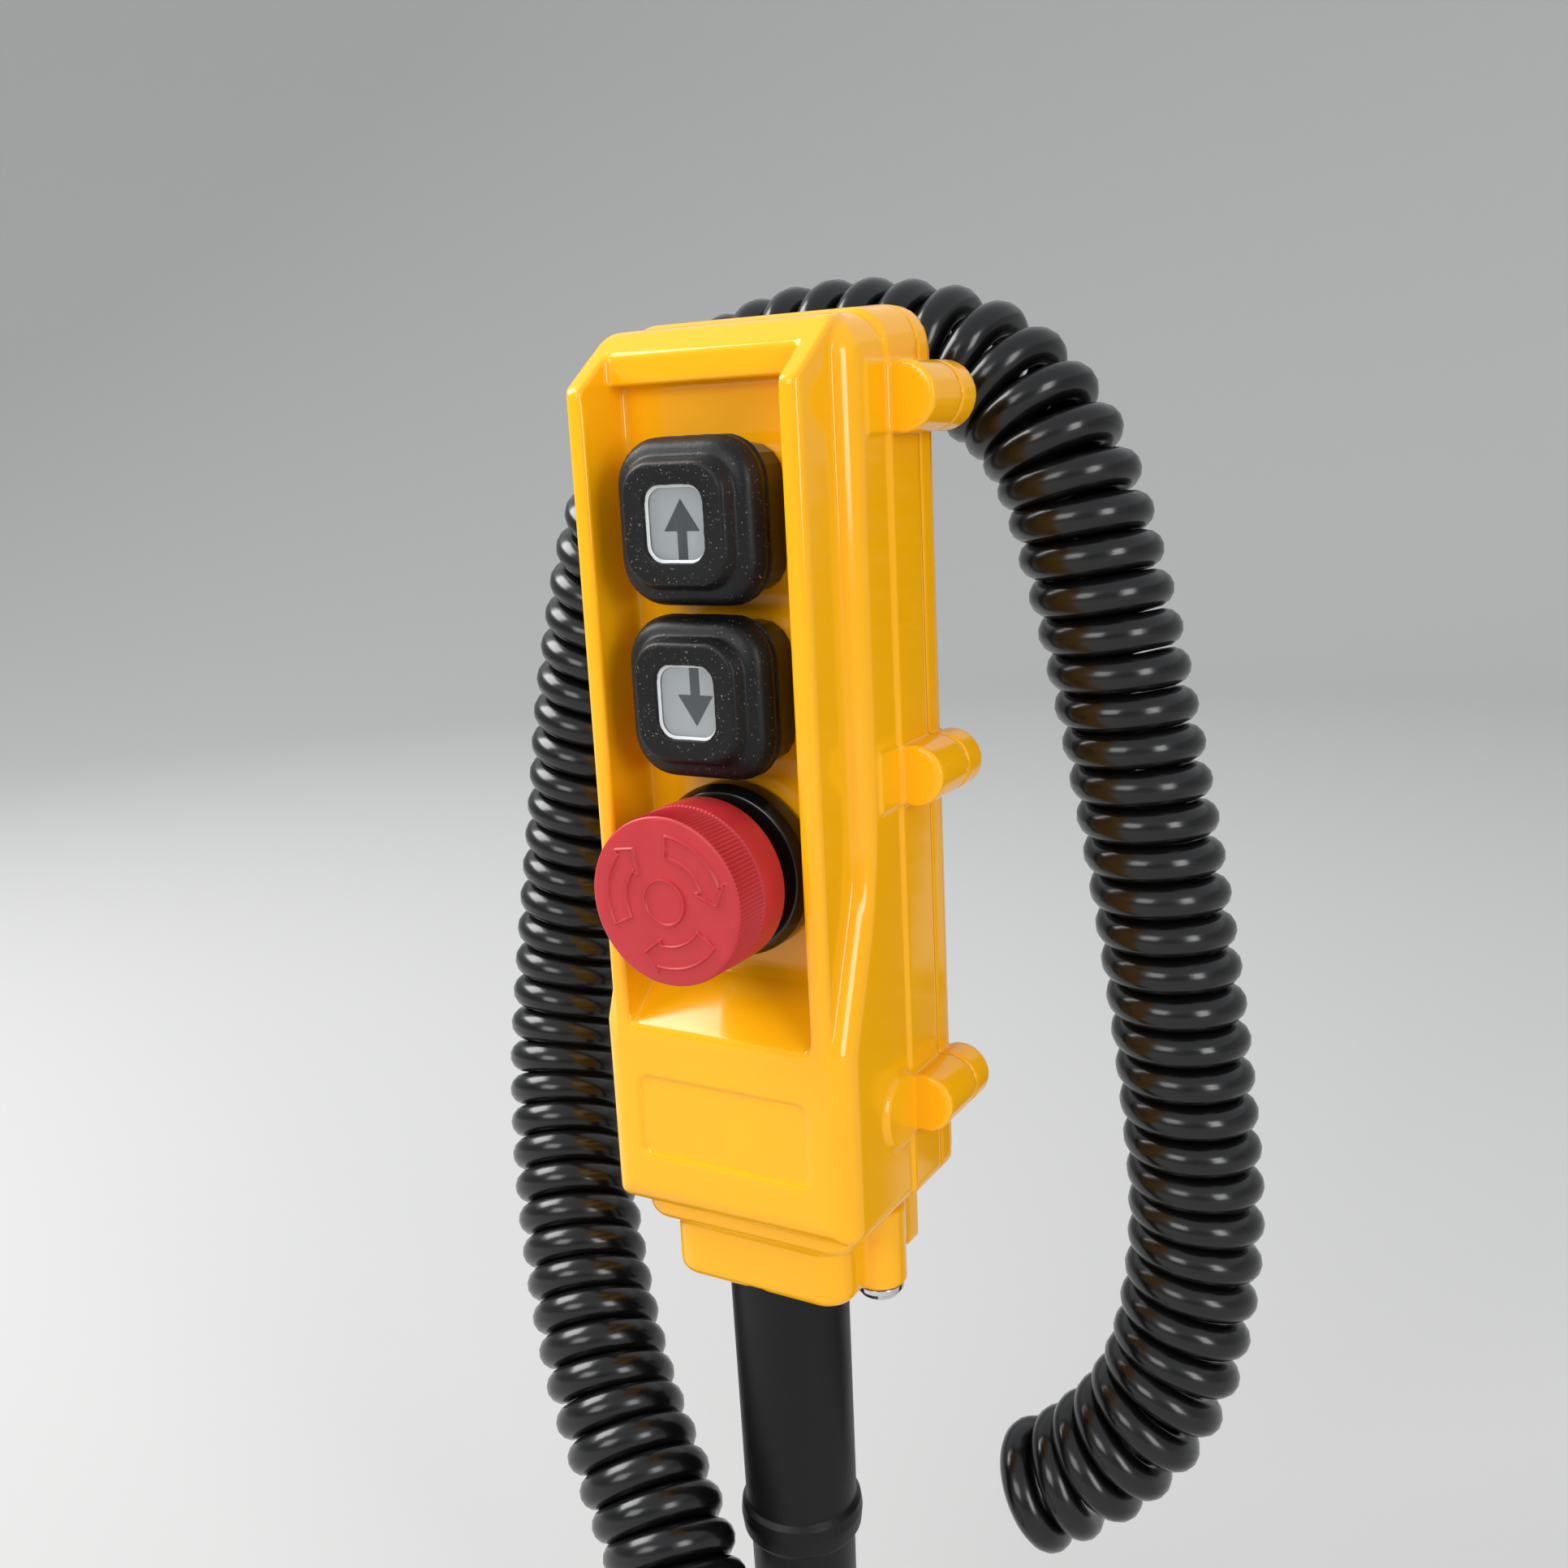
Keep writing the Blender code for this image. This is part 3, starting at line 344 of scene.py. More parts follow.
def clearLens():
    # acrylic, moulded: clear and polished
    return newMaterial("molded_clear_lens", "#F7F9FA", 0.04, IOR=1.49, Transmission_Weight=1.0)[0]


materials = {
    "abs": moldedAbs(),
    "hood": moldedRubber("molded_hood_rubber", "#0D0D0F", 0.42),
    "sleeve": moldedRubber("molded_sleeve_rubber", "#0A0A0B", 0.42, specks=False),
    "jacket": extrudedCordJacket(),
    "red": moldedRed(),
    "black": moldedGloss("molded_black_polyamide", "#0E0E10", 0.2),
    "block": moldedGloss("molded_grey_block", "#3A3B3D", 0.45),
    "steel": platedMetal("zinc_plated_steel", "#C4C6C8", 0.28),
    "chrome": platedMetal("chrome_plated_steel", "#D9DBDD", 0.08),
    "brass": platedMetal("turned_brass", "#D2A85A", 0.25),
    "plate": anodizedPlate(),
    "ink": moldedGloss("printed_grey_ink", "#505356", 0.5),  # screen print, as dull as a worn plastic
    "lens": clearLens(),
    # pale grey moulded plastic for the window's bevel ring: its pale colour is a painted highlight on the
    # bevelled edge
    "bevel_painted_highlight": moldedGloss("molded_pale_edge_painted_highlight", "#D6D9DB", 0.35),
    # PVC insulation, extruded: satin, in the usual wiring colours
    "wireBlack": moldedGloss("extruded_black_wire", "#121214", 0.35),
    "wireBlue": moldedGloss("extruded_blue_wire", "#1F4FA8", 0.35),
    "wireBrown": moldedGloss("extruded_brown_wire", "#5A3216", 0.35),
}
print("materials made:", len(materials))


# the cord: straight lead, wound helix, straight tail, as one tube

cordSet = {
    "radius": 3.8,  # of the cable, mm
    "helix": 10.35,  # from the coil's middle to the cable's middle
    # (place along the coil, distance between turns), mm: it hangs tightest on the left and opens at its end
    "pitches": (
        (0.0, 7.35), (90.0, 7.4), (150.0, 7.75), (250.0, 7.65), (430.0, 7.8), (590.0, 7.9), (635.0, 8.6),
    ),
    "leaves": (0.577, 0.0, -0.82),  # the side of its last turn that the cable leaves from
    "swingIn": 1.1,  # turns over which the winding grows to its full radius
    "perTurn": 40,  # points along each turn
    "around": 14,  # points round the cable
    "spacing": 1.6,  # between points on the straight ends, mm
    "coilSpacing": 0.5,  # between points on the coil's middle line, mm
    "blend": (12, 8),  # points each side of the lead's joint that are smoothed, and passes
    "bow": 1.6,  # how far the last turn bows out on its way to the tail
    "lead": (
        (0.0, -26.0, -189.3), (0.0, -26.0, -193.0), (0.5, -26.0, -203.0), (6.0, -31.0, -221.0),
        (14.0, -46.0, -228.0), (13.0, -60.0, -214.0), (3.0, -62.0, -197.0), (-9.5, -54.5, -181.0),
    ),
    "coil": (
        (-9.7, -54.3, -180.7), (-22.0, -46.0, -164.0), (-44.0, -33.0, -140.0), (-63.0, -16.0, -113.0),
        (-76.0, 0.0, -86.0), (-79.0, 9.0, -60.0), (-76.0, 14.0, -26.0), (-69.0, 16.0, 15.0),
        (-57.0, 17.0, 51.0), (-38.0, 18.0, 71.0), (-14.0, 19.0, 80.0), (9.0, 20.0, 80.3),
        (28.0, 22.0, 74.5), (42.0, 22.0, 60.0), (50.0, 23.0, 36.0), (57.0, 25.0, 2.0), (64.2, 26.0, -41.0),
        (69.0, 26.0, -79.0), (70.8, 25.0, -105.0), (68.4, 20.5, -131.0), (62.3, 16.5, -146.8),
        (50.6, 14.0, -161.0), (42.0, 12.3, -167.2), (38.0, 11.5, -170.0),
    ),
    "tail": (
        (44.0, 19.0, -178.8), (44.9, 30.0, -177.0), (47.2, 40.5, -172.0), (50.8, 49.0, -163.0),
        (54.8, 53.6, -150.0), (57.2, 55.0, -137.0), (58.0, 55.0, -124.0), (58.0, 55.0, -113.0),
    ),
}


def hermite(a, b, leaving, arriving, t):
    # the cubic piece from a to b with these tangents at its ends, at shares t of the way
    line = a * (2 * t**3 - 3 * t**2 + 1) + leaving * (t**3 - 2 * t**2 + t)
    return line + b * (3 * t**2 - 2 * t**3) + arriving * (t**3 - t**2)


def resampled(rows, along, places):
    # each column of rows, known at along, read off at places
    return np.stack([np.interp(places, along, rows[:, k]) for k in range(3)], axis=1)


def smoothRoute(route, spacing):
    # cubic pieces through the route's points, evenly resampled; a point's tangent joins its two neighbours
    knots = np.array(route, float)
    ahead = np.vstack([knots[1:], knots[-1:]])
    behind = np.vstack([knots[:1], knots[:-1]])
    tangent = ahead - behind
    tangent /= np.linalg.norm(tangent, axis=1)[:, None]
    t = np.linspace(0, 1, 60, endpoint=False)[None, :, None]
    a, b = knots[:-1, None], knots[1:, None]
    reach = np.linalg.norm(b - a, axis=2, keepdims=True) * 1.02  # just over the chord, for round bends
    line = hermite(a, b, tangent[:-1, None] * reach, tangent[1:, None] * reach, t)
    line = np.vstack([line.reshape(-1, 3), knots[-1:]])
    along = np.concatenate([[0], np.cumsum(np.linalg.norm(np.diff(line, axis=0), axis=1))])
    places = np.linspace(0, along[-1], max(2, int(round(along[-1] / spacing)) + 1))
    return resampled(line, along, places)


def carriedFrames(line):
    # unit tangents and two unit normals that turn as little as they can along the line
    tangent = np.gradient(line, axis=0)
    tangent /= np.linalg.norm(tangent, axis=1)[:, None]
    first = np.cross(tangent[0], [0.3, 0.9, 0.2])
    normal = np.empty_like(line)
    normal[0] = first / np.linalg.norm(first)
    for i in range(1, len(line)):
        step = normal[i - 1] - tangent[i] * (normal[i - 1] @ tangent[i])
        normal[i] = step / np.linalg.norm(step)
    return tangent, normal, np.cross(tangent, normal)


def coilPath(settings):
    # a helix: its middle follows the coil's route, its radius grows from nothing over the first turn, and its
    # angle falls by a full turn in each pitch, so that it ends on the side named by leaves
    spacing = settings["coilSpacing"]
    middle = smoothRoute(settings["coil"], spacing)
    along = np.linspace(0, 1, len(middle)) * spacing * (len(middle) - 1)
    pitch = np.interp(along, *np.array(settings["pitches"]).T)
    turns = np.concatenate([[0], np.cumsum(np.diff(along) / pitch[1:])])
    count = int(turns[-1] * settings["perTurn"])
    dense = np.linspace(0, turns[-1], count)
    _, normal, binormal = carriedFrames(middle)
    at = np.interp(dense, turns, along)
    point, normal, binormal = (resampled(rows, along, at) for rows in (middle, normal, binormal))
    # a left-handed winding; the cable comes in on the coil's middle and swings out over the first turn
    grow = np.clip(dense / settings["swingIn"], 0, 1)
    radius = settings["helix"] * grow * grow * (3 - 2 * grow)
    last = np.arctan2(binormal[-1] @ settings["leaves"], normal[-1] @ settings["leaves"])
    angle = last - 2 * np.pi * (dense - turns[-1])
    return point + radius[:, None] * (np.cos(angle)[:, None] * normal + np.sin(angle)[:, None] * binormal)


def smoothed(line, passes, keep):
    # rounds a line's joints: each point moves towards the middle of its neighbours, where keep is below 1
    for _ in range(passes):
        middle = (line[:-2] + line[2:]) / 2
        line[1:-1] += (middle - line[1:-1]) * (1 - keep[1:-1, None]) * 0.5
    return line


def tubePoints(line, radius, around):
    # a circle carried along the line
    _, normal, binormal = carriedFrames(line)
    angle = np.arange(around) * 2 * np.pi / around
    ring = np.cos(angle)[None, :, None] * normal[:, None] + np.sin(angle)[None, :, None] * binormal[:, None]
    return (line[:, None] + radius * ring).reshape(-1, 3)


def makeCord(settings):
    # one tube along lead, coil and tail, with the line rounded where the lead joins the coil
    spacing = settings["spacing"]
    lead = smoothRoute(settings["lead"], spacing)
    coil = coilPath(settings)
    tail = smoothRoute(settings["tail"], spacing)
    # from the coil's last turn the cable bends back into the tail
    gap = np.linalg.norm(tail[0] - coil[-1])
    leaving = (coil[-1] - coil[-3]) / np.linalg.norm(coil[-1] - coil[-3])
    joining = (tail[2] - tail[0]) / np.linalg.norm(tail[2] - tail[0])
    t = np.linspace(0, 1, max(3, int(gap * 1.3 / spacing)))[1:-1, None]
    bow = gap * settings["bow"]
    bridge = hermite(coil[-1], tail[0], leaving * bow, joining * bow, t)
    line = np.vstack([lead[:-1], coil, bridge, tail])
    reach, passes = settings["blend"]
    keep = np.ones(len(line))
    keep[len(lead) - reach:len(lead) + reach] = 0
    line = smoothed(line, passes, keep)
    length = float(np.linalg.norm(np.diff(line, axis=0), axis=1).sum())
    around = settings["around"]
    points = tubePoints(line, settings["radius"], around)
    faces = gridFaces(len(line), around)
    cord = makePiece("curly_cord", points, faces, materials["jacket"], "housing",
                     ("cord_lead", "cord_coil", "cord_tail"), sharp=60, caps=endCaps(len(line), around))
    print("cord:", round(length * mm, 3), "m,", len(faces), "quads")
    return cord, line, length


makeCamera(cameraSet)
cord, cordLine, cordLength = makeCord(cordSet)


# housing shells, as distance fields sampled on a box grid

housingSet = {
    "step": 0.69,  # grid spacing, mm
    "halfWidth": 27.6,
    "topZ": 84.2,
    "topRise": 2.3,
    "lowZ": -85.0,
    "partingY": -10.0,
    "gap": 0.3,
    "shoulderY": -36.5,
    "railY": -48.0,
    "floorY": -35.0,
    "bandY": -39.5,
    "flangeY": -22.4,
    "flangeOut": 0.6,
    "railHalf": 24.2,
    "recessHalf": 20.3,
    "recessTop": 74.7,
    "rampEndZ": -35.6,
    "blockTopZ": -46.0,
    "wedgeTopZ": -15.0,
    "slopeLowZ": 74.0,
    "slopeRise": 0.73,
    "lugX": 30.6,
    "lugs": ((70.3, 6.4), (1.5, 5.8), (-64.0, 5.8)),
    "lugFrontY": -22.3,
    "lugRearY": -3.3,
    "cableY": -26.0,
    "trayRearY": -29.5,
    "lipLow": -90.0,
    "lipHalf": 23.8,
    "lipFrontY": -44.0,
    "collarLow": -103.5,
    "collarHalf": 20.0,
    "collarFrontY": -40.0,
    "anchor": (20.0, -23.5, 5.5),  # x, y and radius of the boss for the single screw
    "label": (-64.4, 18.8, 8.2, 2.2, 0.5),  # level, half width, half height, corner and depth of its recess
    "bore": (12.7, -92.6),  # radius and upper end of the cable's way in
    "disc": 7.6,  # radius of the round pad by each lowest lug
    "screwHole": (3.9, -5.7, 2.1),  # radius and floor of the sunk part, then radius of the hole
    "frontBox": ((-38.2, -49.0, -104.6), (38.2, -9.0, 88.2)),
    "rearBox": ((-38.2, -11.0, -104.6), (38.2, 1.0, 88.2)),
}
# in the fields below, the last number of both, either and roundedSlab is a fillet's radius in mm


def both(a, b, r):
    # intersection of two distance fields with an edge rounded to radius r
    return np.minimum(-r, np.maximum(a, b)) + np.hypot(np.maximum(a + r, 0), np.maximum(b + r, 0))


def either(a, b, r):
    # union of two distance fields with an inner corner rounded to radius r
    return np.maximum(r, np.minimum(a, b)) - np.hypot(np.maximum(r - a, 0), np.maximum(r - b, 0))


def roundedSlab(x, z, halfX, halfZ, radius):
    # distance to a rounded rectangle
    px, pz = np.abs(x) - halfX + radius, np.abs(z) - halfZ + radius
    return np.hypot(np.maximum(px, 0), np.maximum(pz, 0)) + np.minimum(np.maximum(px, pz), 0) - radius


def topAt(y, h):
    # the top rises a little from the shoulder to the parting line
    share = np.clip((y - h["shoulderY"]) / (h["partingY"] - h["shoulderY"]), 0, 1)
    return h["topZ"] + h["topRise"] * share


def outline(x, y, z, h, grow):
    # the housing's outline seen from the front: flat sides, round upper corners, small lower ones
    side = np.abs(x) - h["halfWidth"] - grow
    upper = both(side, z - topAt(y, h) - grow, 7.5)
    return both(upper, h["lowZ"] - z - grow * 0.5, 3.0)


def lugField(x, y, z, h, front, back, edge):
    # barrels for the cover screws, front to back beside the housing
    field = None
    for level, radius in h["lugs"]:
        barrel = np.hypot(np.abs(x) - h["lugX"], z - level) - radius
        lug = both(both(barrel, front - y, edge), y - back, edge)
        field = lug if field is None else np.minimum(field, lug)
    return field


def frontField(x, y, z):
    # distance to the front shell: its block, tray, channel, collar, lugs and recesses joined and cut in turn
    h = housingSet
    back = h["partingY"] - h["gap"] / 2
    slant = (h["wedgeTopZ"] - h["blockTopZ"]) / (h["shoulderY"] - h["railY"])
    tilt = 1 / math.hypot(1, 1 / slant)
    shoulder = h["shoulderY"] - y
    wedge = (h["shoulderY"] - (h["wedgeTopZ"] - z) / slant - y) * tilt
    face = both(h["railY"] - y, either(shoulder, wedge, 0.5), 1.4)
    shell = outline(x, y, z, h, 0.0)
    body = both(shell, face, 5.3)
    flange = both(outline(x, y, z, h, h["flangeOut"]), h["flangeY"] - y, 0.45)
    body = either(body, flange, 0.35)
    # raised tray with the two side rails, up to the top
    tray = both(np.abs(x) - h["railHalf"], h["railY"] - y, 1.7)
    tray = both(tray, z - topAt(y, h), 2.0)
    tray = both(both(tray, h["blockTopZ"] - 4 - z, 1.0), y - h["trayRearY"], 0.5)
    body = either(body, tray, 0.3)
    # the inclined plane that trims the rails and the top
    incline = (z - h["slopeLowZ"] - (y - h["railY"]) * h["slopeRise"]) / math.hypot(1, h["slopeRise"])
    body = both(body, incline, 0.7)
    # channel between the rails, with the ramp at its foot
    rampRise = (h["rampEndZ"] - h["blockTopZ"]) / (h["floorY"] - h["railY"])
    ramp = (h["blockTopZ"] + (y - h["railY"]) * rampRise - z) / math.hypot(1, rampRise)
    channel = both(np.abs(x) - h["recessHalf"], y - h["floorY"], 1.0)
    channel = both(channel, ramp, 1.6)
    channel = both(channel, z - h["recessTop"], 0.9)
    band = both(np.abs(x) - h["recessHalf"], y - h["bandY"], 0.9)
    band = both(band, h["recessTop"] - 3 - z, 0.5)
    channel = either(channel, band, 0.6)
    body = both(body, -channel, 0.7)
    # lip and collar round the cable's way out
    lip = both(np.abs(x) - h["lipHalf"], h["lipFrontY"] - y, 6.0)
    lip = both(both(lip, h["lipLow"] - z, 3.8), z - h["lowZ"] - 4, 0.5)
    collar = both(np.abs(x) - h["collarHalf"], h["collarFrontY"] - y, 6.0)
    collar = both(both(collar, h["collarLow"] - z, 3.0), z - h["lipLow"] - 3, 0.5)
    lower = either(lip, collar, 2.2)
    anchorX, anchorY, anchorR = h["anchor"]
    boss = both(np.hypot(x - anchorX, y - anchorY) - anchorR, h["collarLow"] - z, 0.8)
    boss = both(boss, z - h["lipLow"] - 3, 0.5)
    lower = either(lower, boss, 0.9)
    body = either(body, lower, 0.7)
    # screw lugs, the thin pads beside them and a round one by each lowest lug
    lugs = lugField(x, y, z, h, h["lugFrontY"], 5.0, 0.5)
    body = either(body, lugs, 0.9)
    reach = np.abs(x) - h["halfWidth"]
    for level, radius in h["lugs"][:2]:
        pad = both(roundedSlab(y - h["flangeY"] + 3, z - level, 5.0, radius, 0.6), reach - 0.45, 0.3)
        body = either(body, pad, 0.25)
    disc = both(np.hypot(y - h["flangeY"] + 4, z - h["lugs"][2][0]) - h["disc"], reach - 1.0, 0.9)
    body = either(body, disc, 0.2)
    # label recess, cable bore, parting face
    level, halfX, halfZ, corner, depth = h["label"]
    label = both(roundedSlab(x, z - level, halfX, halfZ, corner), y - h["railY"] - depth, 0.25)
    body = both(body, -label, 0.3)
    boreR, boreTop = h["bore"]
    bore = both(np.hypot(x, y - h["cableY"]) - boreR, z - boreTop, 0.3)
    body = both(body, -bore, 0.6)
    return both(body, y - back, 0.35)


def rearField(x, y, z):
    # distance to the rear shell: a wide rim, a narrower back, the collar's rear half and the screw lugs
    h = housingSet
    front = h["partingY"] + h["gap"] / 2
    wide = outline(x, y, z, h, h["flangeOut"])
    wide = both(wide, y + 5.0, 0.4)
    narrow = both(outline(x, y, z, h, -0.5), y, 3.2)
    body = either(wide, narrow, 0.35)
    lip = both(np.abs(x) - h["lipHalf"], h["lipLow"] - z, 3.8)
    collar = both(np.abs(x) - h["collarHalf"], h["collarLow"] - z, 1.2)
    tongue = either(both(lip, z - h["lowZ"] - 4, 0.5), both(collar, z - h["lipLow"] - 3, 0.5), 1.2)
    body = either(body, both(tongue, y + 5.0, 0.5), 0.5)
    lugs = lugField(x, y, z, h, -30.0, h["lugRearY"], 0.6)
    body = either(body, lugs, 0.8)
    sunkR, sunkY, holeR = h["screwHole"]
    for level, _ in h["lugs"]:
        radial = np.hypot(np.abs(x) - h["lugX"], z - level)
        sunk = both(radial - sunkR, sunkY - y, 0.1)
        hole = np.minimum(sunk, radial - holeR)
        body = both(body, -hole, 0.35)
    return both(body, front - y, 0.35)


def surfaceNet(field, lows, highs, step):
    # one point in each grid cell that the surface crosses, at the mean of the crossings, then moved down the
    # field's slope onto the surface; the four points round each crossed grid edge make a quad
    axes = [np.linspace(lo, hi, int((hi - lo) / step) + 2) for lo, hi in zip(lows, highs)]
    values = field(*np.meshgrid(*axes, indexing="ij")).astype(np.float32)
    inside = values < 0
    cells = tuple(n - 1 for n in values.shape)
    total = np.zeros((*cells, 3), np.float32)
    count = np.zeros(cells, np.float32)
    shifts = [(a, b, c) for a in (0, 1) for b in (0, 1) for c in (0, 1)]
    for start in shifts:
        for axis in range(3):
            if start[axis]:
                continue
            end = tuple(s + (k == axis) for k, s in enumerate(start))
            a, b = (values[tuple(slice(s, s + n) for s, n in zip(corner, cells))] for corner in (start, end))
            crossed = (a < 0) != (b < 0)
            share = np.where(crossed, a / np.where(crossed, a - b, 1), 0)
            for k in range(3):
                total[..., k] += crossed * (start[k] + (share if k == axis else 0))
            count += crossed
    found = count > 0
    number = np.full(cells, -1)
    number[found] = np.arange(found.sum())
    where = np.argwhere(found)
    local = total[found] / count[found][:, None]
    spacing = np.array([axis[1] - axis[0] for axis in axes])
    base = np.stack([axes[k][where[:, k]] for k in range(3)], axis=1)
    points = base + local * spacing
    nudge = 0.02  # mm, for the slope
    for _ in range(4):
        value = field(*points.T)
        slope = [(field(*(points + nudge * np.eye(3)[k]).T) - value) / nudge for k in range(3)]
        slope = np.stack(slope, axis=1)
        size = np.maximum((slope**2).sum(axis=1), 0.25)
        points = points - 0.9 * (value / size)[:, None] * slope
        points = np.clip(points, base - 0.2 * spacing, base + 1.2 * spacing)
    faces = []
    for axis in range(3):
        others = [k for k in range(3) if k != axis]
        a = np.take(inside, range(0, inside.shape[axis] - 1), axis=axis)
        b = np.take(inside, range(1, inside.shape[axis]), axis=axis)
        spots = np.argwhere(a != b)
        keep = np.all([(spots[:, k] >= 1) & (spots[:, k] < inside.shape[k] - 1) for k in others], axis=0)
        spots = spots[keep]
        outward = a[tuple(spots.T)]
        ring = []
        for first, second in ((1, 1), (0, 1), (0, 0), (1, 0)):
            cell = spots.copy()
            cell[:, others[0]] -= first
            cell[:, others[1]] -= second
            ring.append(number[tuple(cell.T)])
        quad = np.stack(ring, axis=1)
        flip = outward == (axis == 1)
        quad[flip] = quad[flip][:, ::-1]
        faces.append(quad)
    return points, np.concatenate(faces)


def makeShell(name, field, box, node):
    # the field's surface inside a box, as a visible shell in place of the CAD's
    points, faces = surfaceNet(field, *box, housingSet["step"])
    makePiece(name, points, faces, materials["abs"], "housing", (node,), sharp=60, orient=False)
    print(name + ":", len(faces), "quads")


makeShell("front_shell", frontField, housingSet["frontBox"], "front_cover")
makeShell("rear_shell", rearField, housingSet["rearBox"], "rear_cover")


# push buttons and stop button

buttonSet = {
    "floorY": housingSet["floorY"],
    "levels": {"up": 50.5, "down": 19.0},
    "baseHalf": (14.8, 14.95),
    "baseCorner": 8.2,
    "cornerLoss": 0.58,  # how fast the corner radius falls with the inset
    "cornerLeast": 2.5,
    "windowLift": 0.4,  # the window is this much taller than it is wide, each way
    "liftFrom": (6.0, 9.0),  # the insets between which that comes in
    "trimmed": 0.09,  # the rubber was trimmed by hand at its window and its flash line, mm
    "windowEdge": 8.4,  # inset of the first
    "flashLine": (7.75, 8.2),  # heights of the second
    # (out, inset, fillet): from the skirt over flash line, pillow, step and platform to the window
    "outside": (
        (5.8, 1.2, 0.0), (7.6, 1.05, 0.2), (7.8, 0.15, 0.06), (8.1, 0.0, 0.06), (8.4, 0.3, 0.0),
        (10.0, 0.05, 2.5), (12.9, 1.1, 2.6), (13.75, 3.3, 1.1), (16.35, 4.4, 1.0), (16.25, 8.5, 0.25),
        (15.0, 8.52, 0.0),
    ),
    "inside": ((15.0, 7.0), (13.9, 7.0), (13.9, 5.4), (11.2, 5.4), (11.2, 1.9), (5.8, 1.9)),
    "arrow": ((-1.0, -7.2), (1.0, -7.2), (1.0, -1.3), (3.7, -1.3), (0.0, 4.3), (-3.7, -1.3), (-1.0, -1.3)),
    "print": {"up": (1, 0.9), "down": (-1, 1.5)},  # the arrow's way up, and how far aside it was printed, mm
    "inkY": (-49.7, -49.76),
    # (out, half width, half height, corner): the clear pane, and the pale bevel round it, whose pale colour
    # is a painted highlight
    "pane": ((14.8, 6.9, 7.3, 2.6), (14.97, 6.9, 7.3, 2.6)),
    "bevel": (
        (15.3, 6.27, 6.77, 3.2), (15.25, 6.17, 6.67, 3.1), (15.02, 5.75, 6.25, 2.8),
        (14.98, 5.75, 6.25, 2.8), (14.98, 6.27, 6.77, 3.2),
    ),
}


def makeHood(prefix, level):
    # rounded rectangles whose inset and height follow the hood's profile; three sines, 2.8 at most together,
    # leave the trimmed edges a little uneven
    s = buttonSet
    start, end = s["liftFrom"]
    low, high = s["flashLine"]
    loops = []
    for out, inset in np.vstack([filleted(s["outside"], 6), s["inside"]]):
        halfX, halfZ = s["baseHalf"][0] - inset, s["baseHalf"][1] - inset
        halfZ += s["windowLift"] * np.clip((inset - start) / (end - start), 0, 1)
        corner = max(s["cornerLeast"], s["baseCorner"] - s["cornerLoss"] * inset)
        loop = roundedLoop(halfX, halfZ, corner)
        if inset > s["windowEdge"] or low < out < high:
            angle = np.arctan2(loop[:, 1], loop[:, 0])
            uneven = np.sin(9 * angle + level) + np.sin(23 * angle + out) + 0.8 * np.sin(41 * angle + 1)
            loop = loop * (1 + s["trimmed"] * uneven[:, None] / 2.8 / halfX)
        place = np.full(len(loop), s["floorY"] - out)
        loops.append(np.stack([loop[:, 0], place, loop[:, 1] + level], axis=1))
    rows, columns = len(loops), len(loops[0])
    faces = gridFaces(rows, columns, wrapRows=True)
    makePiece(f"{prefix}_rubber_hood", np.concatenate(loops), faces, materials["hood"], f"{prefix}_button",
              (f"{prefix}_hood",), sharp=50)


def makeArrow(prefix, level, turned, aside):
    # printed arrow: a flat outline, a hair thick, on the legend plate; its stem runs under the hood
    x, z = np.array(buttonSet["arrow"]).T
    count = len(x)
    layers = [np.stack([x + aside, np.full(count, y), z * turned + level], axis=1) for y in buttonSet["inkY"]]
    makePiece(f"{prefix}_arrow", np.concatenate(layers), gridFaces(2, count), materials["ink"],
              f"{prefix}_button", sharp=30, caps=endCaps(2, count))


def loopPiece(name, stations, level, material, body, replaced=(), closed=False):
    # rounded rectangles (out, halfX, halfZ, corner) joined in turn; closed makes a ring of them
    loops = []
    for out, halfX, halfZ, corner in stations:
        x, z = roundedLoop(halfX, halfZ, corner).T
        loops.append(np.stack([x, np.full(len(x), buttonSet["floorY"] - out), z + level], axis=1))
    rows, columns = len(loops), len(loops[0])
    caps = [] if closed else endCaps(rows, columns)
    faces = gridFaces(rows, columns, wrapRows=closed)
    makePiece(name, np.concatenate(loops), faces, material, body, replaced, sharp=50, caps=caps)


def makeWindow(prefix, level):
    # a clear pane in a bevel ring whose pale grey colour is a painted highlight
    body = f"{prefix}_button"
    for part, look, replaced in (("pane", "lens", (f"{prefix}_lens",)), ("bevel", "bevel_painted_highlight", ())):
        loopPiece(f"{prefix}_{part}", buttonSet[part], level, materials[look], body, replaced,
                  closed=part == "bevel")


for prefix, level in buttonSet["levels"].items():
    makeHood(prefix, level)
    makeArrow(prefix, level, *buttonSet["print"][prefix])
    makeWindow(prefix, level)


